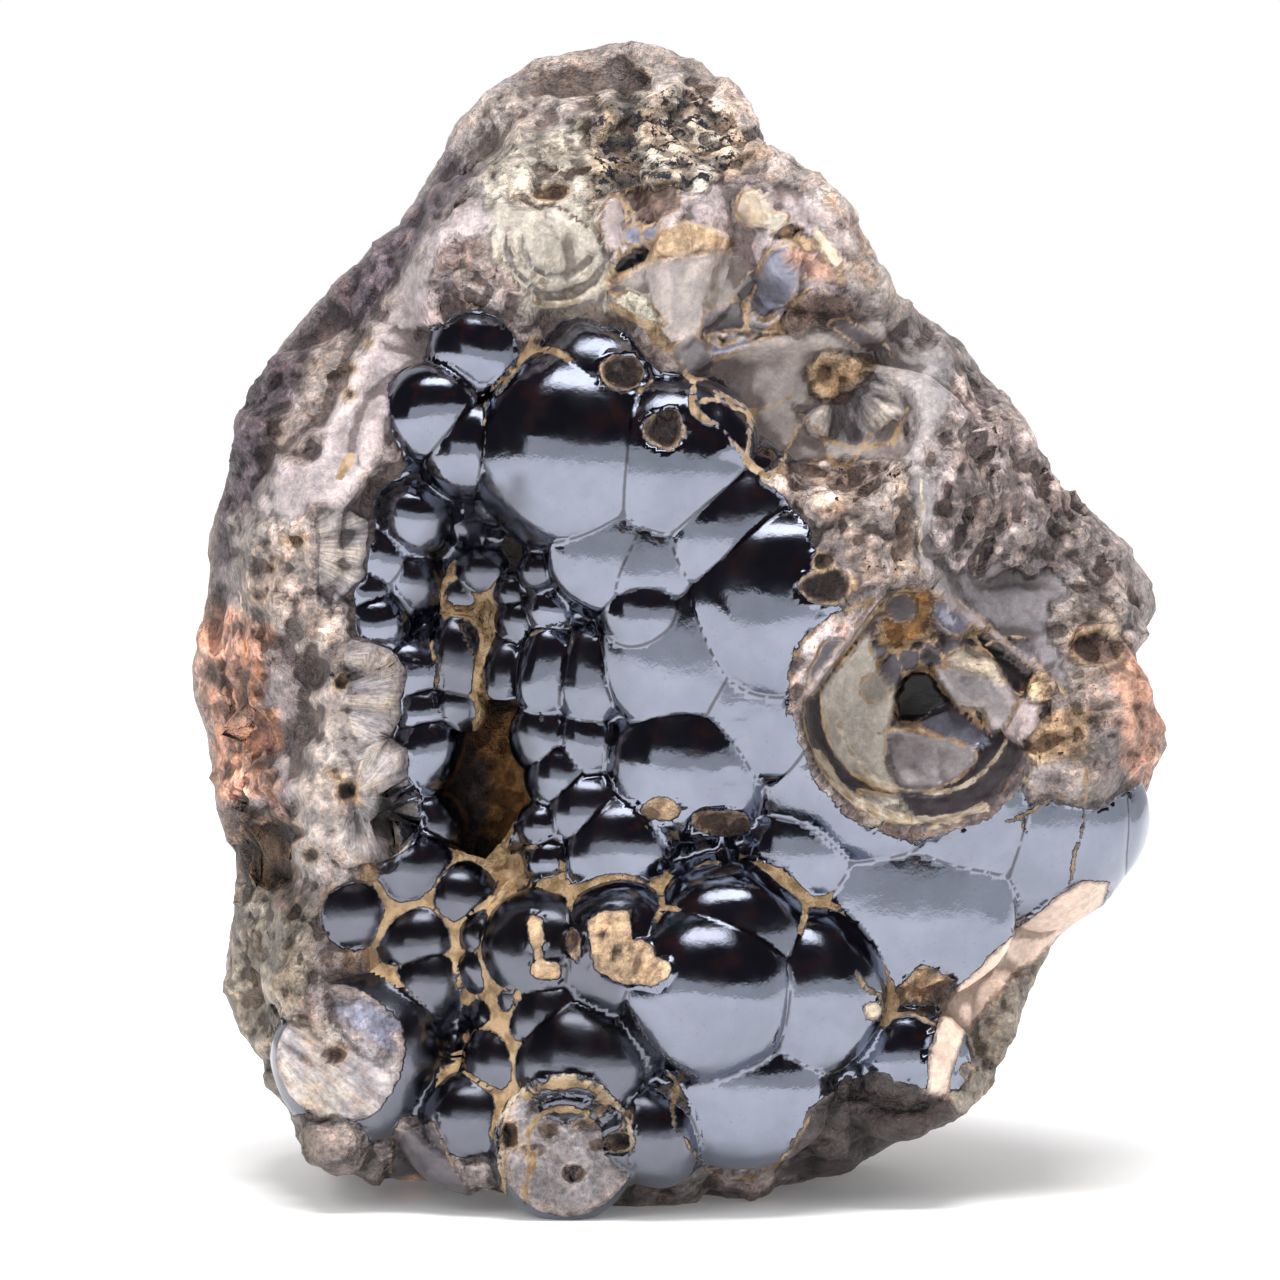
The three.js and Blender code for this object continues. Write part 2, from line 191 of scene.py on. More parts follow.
def soften(values: Array, reach: float) -> Array:
    """Blurs a sheet of values evenly.

    Args:
        values: Rows and columns of values.
        reach: Reach of the blur, in grid steps.

    Returns:
        The blurred sheet.
    """
    steps = np.arange(-int(3 * reach), int(3 * reach) + 1)
    kernel = np.exp(-0.5 * (steps / reach) ** 2)
    kernel /= kernel.sum()
    for axis in (0, 1):
        values = np.apply_along_axis(np.convolve, axis, values, kernel, mode="same")
    return values


# ---- colours
class Tone(Enum):
    """Colours of the ore, as display values from 0 to 255."""

    OCHRE = (188, 161, 132)
    SEAM = (180, 152, 118)
    DEEP_OCHRE = (140, 102, 60)
    TAN = (169, 159, 156)
    MAUVE = (163, 152, 154)
    RUST = (204, 162, 144)
    # dark crust colour; also painted shade in fan grooves and the painted shadow under the lower right
    BROWN = (108, 90, 84)
    DARK_CRUST = (64, 56, 56)
    IRON = (106, 101, 105)
    STEEL = (154, 148, 151)
    CREAM = (213, 199, 181)
    PALE_GREEN = (186, 180, 166)
    GREEN_BROWN = (144, 136, 126)
    BLEACHED = (190, 182, 172)
    PINK = (226, 200, 184)
    BLACK = (24, 22, 26)
    LILAC = (182, 170, 172)
    ROCK = (142, 133, 133)
    SLATE = (126, 128, 146)
    PURPLE = (100, 90, 99)
    ASH = (134, 129, 133)
    GRAPHITE = (82, 78, 84)

    def linear(self) -> Array:
        """Scene colour of the tone."""
        c = np.asarray(self.value) / 255.0
        return np.where(c <= 0.04045, c / 12.92, ((c + 0.055) / 1.055) ** 2.4)


# ---- frame of the face
@dataclass(frozen=True)
class FaceFrame:
    """Turns the leaning face frame into the standing frame and back.

    Attributes:
        lean: Angle by which the face leans back, in degrees.
        shift_y: Distance that brings the origin under the middle of the piece.
    """

    lean: float = 6.0
    shift_y: float = 35.4

    def axes(self) -> tuple[float, float]:
        """Cosine and sine of the lean."""
        return math.cos(math.radians(self.lean)), math.sin(math.radians(self.lean))

    def standing(self, p: Array) -> Array:
        """Places in metres in the standing frame, of places on the face."""
        c, s = self.axes()
        y = p[:, 2] * c + p[:, 1] * s - self.shift_y
        return np.column_stack((p[:, 0], y, p[:, 1] * c - p[:, 2] * s)) * MM

    def face(self, q: Array) -> Array:
        """Places in the face frame, of places in metres in the standing frame."""
        c, s = self.axes()
        x, y, z = (q / MM).T
        y = y + self.shift_y
        return np.column_stack((x, z * c + y * s, y * c - z * s))


@dataclass(frozen=True)
class FaceSheet:
    """Fine square grid over the face, on which areas and lines are drawn.

    Attributes:
        low: Lowest x and h.
        high: Highest x and h.
        step: Grid step.
    """

    low: Point = (-44.0, -6.0)
    high: Point = (44.0, 98.0)
    step: float = 0.2

    def grid(self) -> tuple[Array, Array]:
        """Places x and h of every grid point."""
        xs = np.arange(self.low[0], self.high[0], self.step)
        hs = np.arange(self.low[1], self.high[1], self.step)
        return np.meshgrid(xs, hs)

    def read(self, values: Array, x: Array, h: Array) -> Array:
        """Value of a drawn sheet at places between its grid points.

        Args:
            values: One value, or one row of values, for each grid point.
            x: Places to the right.
            h: Places up the face.

        Returns:
            The values there.
        """
        rows, columns = values.shape[:2]
        i = np.clip((x - self.low[0]) / self.step, 0.0, columns - 1.001)
        j = np.clip((h - self.low[1]) / self.step, 0.0, rows - 1.001)
        i0, j0 = i.astype(int), j.astype(int)
        u, v = i - i0, j - j0
        if values.ndim == 3:
            u, v = u[:, None], v[:, None]
        lower = mix(values[j0, i0], values[j0, i0 + 1], u)
        upper = mix(values[j0 + 1, i0], values[j0 + 1, i0 + 1], u)
        return mix(lower, upper, v)


# ---- forms on the face
@dataclass(frozen=True)
class Lobe:
    """Kidney lobe: place, radius, depth of its front, how much wider than deep and taller."""

    name: str
    x: float
    h: float
    radius: float
    front: float
    flat: float = 1.0
    tall: float = 1.0

    def centre(self) -> Place:
        """Middle of the lobe in the face frame."""
        return self.x, self.h, self.front + self.radius / self.flat


def cluster(name: str, *rows: tuple[float, ...]) -> tuple[Lobe, ...]:
    """Lobes counted from one; each row holds the numbers of a lobe in their order."""
    return tuple(Lobe(f"{name}_{number}", *row) for number, row in enumerate(rows, 1))


@dataclass(frozen=True)
class Patch:
    """Area of the face with a finish of its own.

    Attributes:
        name: What it is.
        tone: Main colour.
        corners: Corners of the area.
        crumb: Height of its crumbs.
        glint: Share of dark shining grains.
        warm: Share of ochre and rust.
        soft: Width of its soft edge.
        gloss: 0 for matt to 1 for silky.
        grow: How far the area reaches past its corners.
        lift: How far it stands proud.
        slope: How much its face rises to the right and upward, per millimetre.
        over: Whether it also covers polished lobes.
        ragged: How much its edge wanders.
        edge: Width of the thin line along its edge.
        edge_tone: Colour of that line.
    """

    name: str
    tone: Tone
    corners: tuple[Point, ...]
    crumb: float = 0.3
    glint: float = 0.15
    warm: float = 0.25
    soft: float = 0.8
    gloss: float = 0.1
    grow: float = 0.5
    lift: float = 0.0
    slope: Point = (0.0, 0.0)
    over: bool = False
    ragged: float = 1.0
    edge: float = 0.0
    edge_tone: Tone = Tone.OCHRE


@dataclass(frozen=True)
class Pane(Patch):
    """Smooth, rather glossy broken face with a crisp edge."""

    crumb: float = 0.05
    glint: float = 0.0
    warm: float = 0.05
    soft: float = 0.2
    gloss: float = 0.75
    grow: float = 0.1
    over: bool = True
    ragged: float = 0.4
    edge: float = 0.2


@dataclass(frozen=True)
class Ledge:
    """Part of the face that lies farther back.

    Attributes:
        corners: Corners of the part.
        drop: How far back it lies.
        soft: Width of the step.
    """

    corners: tuple[Point, ...]
    drop: float
    soft: float = 1.6


@dataclass(frozen=True)
class Vein:
    """Line of filling, ridge or groove on the face.

    Attributes:
        points: Corners of the line.
        width: Full width.
        rise: Height above the surface; negative for a groove.
        tone: Colour.
        seam: Whether it follows the crease between two lobes.
    """

    points: tuple[Point, ...]
    width: float = 0.35
    rise: float = 0.08
    tone: Tone = Tone.SEAM
    seam: bool = False


@dataclass(frozen=True)
class Pit:
    """Round hollow with a raised rim.

    Attributes:
        x: Middle, to the right.
        h: Middle, up the face.
        wide: Half width.
        high: Half height.
        depth: Depth of the hollow.
        rim: Height of the rim.
        tone: Colour inside.
    """

    x: float
    h: float
    wide: float
    high: float
    depth: float = 0.5
    rim: float = 0.12
    tone: Tone = Tone.DARK_CRUST


@dataclass(frozen=True)
class Fan:
    """Fibres that spread from a middle across a broken face.

    Attributes:
        x: Middle, to the right.
        h: Middle, up the face.
        ribs: Fibres in a full turn.
        depth: Depth of the grooves between them.
        tone: Colour of the fibres.
        corners: Edge of the fan.
    """

    x: float
    h: float
    ribs: int
    depth: float
    tone: Tone
    corners: tuple[Point, ...]


@dataclass(frozen=True)
class Facets:
    """Field of smooth broken faces that meet in thin seams.

    Attributes:
        name: What it is.
        corners: Edge of the field.
        middles: Middle of each face.
        tilt: Largest slope of a face.
        step: Largest step between faces.
        crack: Width of the seams.
        tone: Colour of the seams.
    """

    name: str
    corners: tuple[Point, ...]
    middles: tuple[Point, ...]
    tilt: float
    step: float
    crack: float
    tone: Tone


# ---- polished kidney lobes
WHOLE_LOBES = (
    *cluster("crown", (-6, 63.8, 6.8, 6)),
    *cluster("brow", (-7.9, 59.6, 8.4, 4.2, 1.3), (-0.6, 58.6, 7.2, 4.2, 1.3), (3.6, 53.6, 7.6, 4.9, 1.2)),
    *cluster("fold", (-4.6, 52.6, 5.7, 6, 2.6), (-10.8, 50.6, 1.7, 8.6), (-1.8, 51.6, 4.8, 5.9, 3.4)),
    *cluster("chest", (-2.2, 47.2, 4.4, 5.8, 1.2), (1.6, 44.6, 7.8, 6, 3)),
    *cluster("dome", (8.2, 47.6, 9, 3.4, 1.25), (6.6, 42.4, 8, 6, 3)),
    *cluster("rib", (-6.7, 42.4, 2.7, 8, 1.2, 1.5), (-10.2, 42.8, 2.5, 8.8, 1.1, 1.5),
        (-10.4, 38, 2.6, 9.4, 1.1, 1.25), (-8.9, 34.8, 2.9, 9, 1.1, 1.1), (-7, 37.6, 2.5, 8.6, 1, 1.4),
        (-13.3, 42.2, 2.2, 10.2, 1, 1.6), (-12.6, 48.6, 1.9, 10.8), (-12.3, 46.6, 2.1, 10.4),
        (-9.9, 47.4, 2.4, 9.2)),
    *cluster("heart", (0.8, 35.9, 7.4, 5.9, 1.1), (14, 36.4, 10.4, 6.3, 1.35)),
    *cluster("sill", (-7, 32, 3.7, 8.2), (-4.6, 29, 4.6, 7.2, 1.2), (-9.9, 28.4, 2, 9.2),
        (-10.6, 31, 1.9, 9.4), (-12.2, 31, 2.1, 10.8), (9.8, 29.2, 5, 8.4, 1.3)),
    *cluster("belly", (3.6, 21.8, 6.7, 3), (2.2, 18.4, 7.5, 1)),
    *cluster("cheek", (-4.6, 21.2, 5.6, 3.4), (-10, 21.2, 5.3, 5)),
    *cluster("lip", (-9.4, 16.2, 4.4, 5), (-7.4, 13, 5.6, 3.4), (-13.1, 13, 3.6, 6.8)),
    *cluster("bead", (-15.7, 8.8, 3.8, 6.6)),
    *cluster("toe", (-2.4, 7.6, 4.4, 4.6), (5, 11.3, 6.9, 5, 1.2)),
    *cluster("hip", (8.8, 18.2, 7, 4.5, 1.2), (16.6, 26.2, 9.6, 9.2, 2.4), (17.6, 13.2, 4.6, 9.8, 1.3)),
    *cluster("shoulder", (20.5, 33.5, 12.6, 8.4), (26.8, 31.4, 8.8, 10.2)),
    *cluster("edge", (30.8, 31.4, 5.8, 13.6)),
    *cluster("grape", (-25.6, 24.2, 3.9, 10.4), (-20.4, 27.6, 4, 10.4), (-16.6, 25.1, 3.4, 10.2),
        (-19.8, 21.8, 3.7, 9.8), (-19.4, 19, 3.5, 9.5), (-14.4, 22.3, 2.4, 8.8), (-14.7, 19.7, 2.3, 8.8),
        (-14.2, 16.4, 2, 8.6), (-11.9, 17.8, 2.5, 6.6)),
    *cluster("left", (-18.6, 62.6, 4.2, 7.6), (-15.8, 60, 4.2, 7.4), (-15, 67.4, 4.5, 8.2),
        (-20.2, 54.6, 3.5, 10), (-19.7, 36.6, 3.5, 10.8, 1, 1.1), (-20.2, 39.6, 3, 11.2),
        (-23.6, 46.2, 2.9, 10.2), (-19.4, 31, 3.2, 12), (-17.2, 43.6, 2.6, 11.4, 1, 1.5),
        (-21, 42.6, 3.2, 11.2), (-24.6, 48.6, 2.8, 10.6), (-23.2, 51.4, 3.2, 10.8),
        (-20.8, 49.6, 2.9, 11.2), (-17.6, 40.2, 2.6, 11.8), (-13.6, 55.8, 2.3, 9)),
    *cluster("pearl", (-14.8, 50.4, 2.3, 11.4), (-16.6, 48.6, 1.9, 12.2)),
)
BROKEN_LOBES = (
    (Lobe("broken_left", -24.2, 13.2, 7, 7), (-0.34, 0.06, -0.94), 5),
    (Lobe("broken_toe", -8.5, 6.8, 6.1, 3.2), (0.02, -0.1, -0.99), 3.1),
)


@dataclass
class KidneyLobes:
    """The polished lobes, whole and broken open.

    Attributes:
        whole: The whole lobes.
        broken: The broken ones, the way each break faces and its distance from the middle.
        bend: How far the lobes are bent aside, which makes them uneven.
        bend_size: Width of one bend.
    """

    whole: tuple[Lobe, ...] = WHOLE_LOBES
    broken: tuple[tuple[Lobe, Place, float], ...] = BROKEN_LOBES
    bend: float = 0.4
    bend_size: float = 4.6

    def __post_init__(self) -> None:
        """Lists the middles and sizes of all lobes once, the whole ones first."""
        self.everyone = list(self.whole) + [row[0] for row in self.broken]
        self.middles = np.asarray([lobe.centre() for lobe in self.everyone])
        sizes = [(lobe.radius, lobe.flat, lobe.tall) for lobe in self.everyone]
        self.radii, self.flat, self.tall = np.asarray(sizes, dtype=float).T

    def bent(self, p: Array) -> Array:
        """Places shifted a little aside, which makes the lobes uneven."""
        aside = [lumps(p, self.bend_size, (k, 2.3, 5.1)) for k in (0.7, 3.9)]
        return p + self.bend * np.column_stack((*aside, np.zeros(len(p))))

    def front_depth(self, x: Array, h: Array, deepest: float) -> Array:
        """Depth of the foremost lobe over places on the face.

        Args:
            x: Places to the right.
            h: Places up the face.
            deepest: Depth given where no lobe lies.

        Returns:
            The depths.
        """
        facing = {row[0].name: row[1:] for row in self.broken}
        depth = np.full(x.shape, deepest)
        for lobe in self.everyone:
            dx, dh = x - lobe.x, (h - lobe.h) / lobe.tall
            inside = lobe.radius**2 - dx**2 - dh**2
            front = lobe.centre()[2] - np.sqrt(np.maximum(inside, 0.0)) / lobe.flat
            if lobe.name in facing:
                way, offset = facing[lobe.name]
                cut = lobe.centre()[2] + (offset - dx * way[0] - dh * way[1]) / way[2]
                front = np.maximum(front, cut)
            depth = np.where(inside > 0, np.minimum(depth, front), depth)
        return depth

    def gaps(self, p: Array) -> Array:
        """Distances from places to every lobe, one column each; negative inside.

        Args:
            p: Places in the face frame.

        Returns:
            The distances.
        """
        flat, tall = self.flat**2, self.tall**2
        p = self.bent(p)
        aside = (p[:, :1] - self.middles[:, 0]) ** 2
        high = (p[:, 1:2] - self.middles[:, 1]) ** 2 / tall
        deep = (p[:, 2:] - self.middles[:, 2]) ** 2 * flat
        size = np.sqrt(aside + high + deep) / self.radii
        steepness = np.sqrt(aside + high / tall + deep * flat) / self.radii**2
        gaps = size * (size - 1.0) / np.maximum(steepness, 1e-6)
        for column, (lobe, facing, offset) in enumerate(self.broken, len(self.whole)):
            above = (p - np.asarray(lobe.centre())) @ np.asarray(facing) - offset
            gaps[:, column] = np.maximum(gaps[:, column], above)
        return gaps


# ---- rough matrix
OUTLINE = (
    (-3.8, 91.9), (1.6, 90.2), (5.1, 87.1), (7, 82.8), (11.6, 80.2), (13.2, 78.6), (14.7, 74.8), (17, 71.3),
    (21.6, 68.6), (25.5, 63.6), (28.5, 59), (30.8, 56.3), (34.7, 52.8), (37, 49.8), (37.2, 47.5),
    (35.5, 44.4), (36.2, 41.3), (38.2, 37.5), (36.2, 33.6), (34.7, 29.8), (33.2, 26.7), (32.8, 24.8),
    (29.3, 22.1), (27, 17.5), (24.7, 12.8), (23.5, 10.2), (22, 8.6), (19.3, 7.5), (16.6, 5.9), (13.2, 4),
    (10.1, 3.2), (7.8, 2.8), (3.2, 1.3), (-3, 0.9), (-9.2, 0.2), (-11.5, 0.2), (-14.5, 1.3), (-17.6, 2.8),
    (-21.8, 3.2), (-26.8, 4.4), (-28.4, 5.2), (-30.3, 9), (-32.2, 12.8), (-34.2, 15.2), (-35.3, 18.2),
    (-34.5, 25.2), (-34.2, 27.5), (-36.1, 32.8), (-36.5, 35.9), (-38.2, 42.8), (-37.2, 46.7), (-36.5, 50.5),
    (-36.8, 52.8), (-34.9, 57.5), (-33.4, 63.6), (-31.5, 67.5), (-26.8, 72.8), (-21.5, 77.5), (-19.2, 81.7),
    (-17.6, 85.2), (-13.8, 88.6), (-11.5, 90.2), (-8.4, 90.9),
)
CRUST_LUMPS = (
    Lobe("crust_top", 12.8, 54.2, 6.2, 5.2),
    Lobe("crust_side", 15.4, 52, 5, 6.2),
    Lobe("ledge_left", 0.6, 74.6, 8.6, 7.8),
    Lobe("ledge_mid", 7.4, 74.8, 7.6, 8.4),
    Lobe("ledge_right", 12.6, 72.4, 5, 10.8),
    Lobe("sponge_left", -3.4, 82, 6, 13.4),
    Lobe("sponge_right", 3.4, 82, 6, 14.6),
    Lobe("shell_stump", -9.2, 75.2, 5.4, 8.2),
    Lobe("bleached", -9.6, 80.6, 5, 11.6),
    Lobe("crumb_left", -15.4, 72.4, 5, 8.4),
    Lobe("cheek_crust", 30, 44.6, 6, 15.8),
    Lobe("keel", 21, 18, 7, 13.6),
    Lobe("shoulder_crust", 31, 40.4, 5.6, 12.4),
)
FRONT_FACES = (
    ((0, 0), (0, 1), 8.8, 0),
    ((17, 0), (1, 0), 9, 0.86),
    ((0, 71), (0, 1), 9.2, 0.72),
    ((-21, 55), (-0.82, 0.57), 8.8, 0.5),
    ((20, 10.2), (0.8, -0.6), 13, 2.6),
    ((12, 10.2), (0.08, -1), 8.2, 1.5),
    ((-24, 6.4), (-0.12, -1), 11, 3.6),
)
BACK_FACES = (
    ((0, 40, 60), (0.05, 0.02, 1)),
    ((0, 80, 52), (0.08, 0.78, 0.62)),
    ((-27, 40, 47), (-0.8, 0.05, 0.6)),
    ((26, 44, 47), (0.74, -0.08, 0.66)),
    ((18, 16, 44), (0.62, -0.5, 0.6)),
    ((-16, 12, 55), (-0.35, -0.42, 0.84)),
)
HOLLOWS = (
    ((-17.6, 31, 7.6), (-18.6, 53, 7.2), 7.4),
    ((-14.4, 31.5, 13.6), (-14, 45, 13.4), 5.2),
    ((6, 62.4, 6.4), (12.4, 62.4, 7), 6),
    ((-32, 27.6, 21), (-31.4, 28.4, 24), 2.6),
    ((-11.6, 27, 8.6), (-11.6, 36, 8.6), 3),
    ((-22, 23.5, 0), (-17, 14, -0.5), 12.2),
    ((-3.6, 56, 1), (-1, 28, 1), 12),
    ((-17.4, 62, 3.6), (-16.6, 66, 3.6), 7.4),
    ((4, 30, 0), (16, 24, 0), 12.2),
    ((16, 24, 0), (16.6, 15.4, 1), 12.2),
)


@dataclass
class RoughMatrix:
    """Broken body of the stone that carries the lobes.

    Attributes:
        outline: Outline seen from the front, clockwise from the top.
        lumps_of_crust: Lumps of crust and matrix.
        front_faces: Start x and h, direction, depth there and fall of each front face.
        back_faces: A point on each back face and the way it faces.
        hollows: Two ends and the radius of each hollow.
        roughness: Size and height of the unevenness.
        noise_offset: Shift of its pattern, in lumps.
        back_start: Depth at which the rounder, less regular back begins.
        back_fade: Depth over which it takes over.
        widest_depth: Depth at which the body is widest.
        girdle_front: How fast it closes from there to the front.
        girdle_back: The same to the back.
        girdle_foot: The same near the foot, which is foot_top high.
        softness: Rounding between faces; hollows and the outline have their own.
    """

    outline: tuple[Point, ...] = OUTLINE
    lumps_of_crust: tuple[Lobe, ...] = CRUST_LUMPS
    front_faces: tuple[tuple[Point, Point, float, float], ...] = FRONT_FACES
    back_faces: tuple[tuple[Place, Place], ...] = BACK_FACES
    hollows: tuple[tuple[Place, Place, float], ...] = HOLLOWS
    roughness: tuple[tuple[float, float], ...] = ((14.0, 1.5), (6.5, 0.8))
    noise_offset: Place = (3.1, 7.7, 1.3)
    back_start: float = 17.0
    back_fade: float = 8.0
    widest_depth: float = 27.0
    girdle_front: float = 0.024
    girdle_back: float = 0.021
    girdle_foot: float = 0.004
    foot_top: float = 16.0
    softness: float = 2.2
    hollow_softness: float = 0.6
    outline_softness: float = 0.8

    def draw_outline(self, sheet: FaceSheet) -> Array:
        """How far each grid point lies inside the outline; negative outside."""
        return -area_gap(*sheet.grid(), self.outline)

    def gap(self, p: Array, inside: Array) -> Array:
        """Signed distance to the rough body; negative inside.

        Args:
            p: Places in the face frame.
            inside: How far each place lies inside the outline.

        Returns:
            Signed distances.
        """
        x, h, d = p.T
        foot = ease((self.foot_top - h) / self.foot_top)
        t = d - self.widest_depth
        closing = mix(np.where(t < 0, self.girdle_front, self.girdle_back), self.girdle_foot, foot)
        gap = closing * t * t - inside
        for (ax, ah), (tx, th), depth, fall in self.front_faces:
            along = (x - ax) * tx + (h - ah) * th
            face = (depth + fall * along - d) / math.hypot(1, fall)
            gap = rounded_max(gap, face, self.softness)
        for at, facing in self.back_faces:
            dot = (p - np.asarray(at)) @ np.asarray(facing) / np.linalg.norm(facing)
            gap = rounded_max(gap, dot, self.softness)
        for lump in self.lumps_of_crust:
            ball = np.linalg.norm(p - np.asarray(lump.centre()), axis=1) - lump.radius
            gap = -rounded_max(-gap, -ball, self.softness)
        # the broken back is rounder and less regular than the front
        back = ease((d - self.back_start) / self.back_fade)
        drift = [lumps(p, 2.6, (k, 1.9, 4.4)) for k in (0.3, 5.7, 8.2)]
        worn = p + 1.2 * (back * np.asarray(drift)).T
        part = mix(1.0, 0.3 + 0.6 * ease(0.45 + 1.6 * lumps(p, 8.5, (3.3, 0.8, 6.1))), back)
        for size, height in self.roughness:
            wave = lumps(worn, size, self.noise_offset)
            wave = np.sqrt(wave**2 + 0.006 * back)
            gap += height * part * (0.5 - 3.0 * wave)
        for start, end, radius in self.hollows:
            e = np.asarray(end) - start
            q = p - np.asarray(start)
            along = np.clip(q @ e / (e @ e), 0.0, 1.0)
            tube = np.linalg.norm(q - along[:, None] * e, axis=1) - radius
            gap = rounded_max(gap, -tube, self.hollow_softness)
        return rounded_max(gap, -inside, self.outline_softness)


# ---- hollow lobe
@dataclass
class HollowLobe:
    """Broken lobe on the right with an open bowl between two straight edges.

    Attributes:
        middle: Middle of the bowl in the face frame.
        radius: Radius of the bowl.
        edges: A point on each straight edge and the way it faces.
    """

    middle: Place = (18.9, 40.0, 5.6)
    radius: float = 9.6
    edges: tuple[tuple[Point, Point], ...] = (
        ((13.2, 45.4), (-0.81, 0.59)),
        ((24.3, 45.0), (0.63, 0.78)),
    )

    def gap(self, p: Array) -> Array:
        """Signed distance to the hollow; negative inside it."""
        gap = np.linalg.norm(p - np.asarray(self.middle), axis=1) - self.radius
        for at, facing in self.edges:
            gap = np.maximum(gap, (p[:, 0] - at[0]) * facing[0] + (p[:, 1] - at[1]) * facing[1])
        return gap


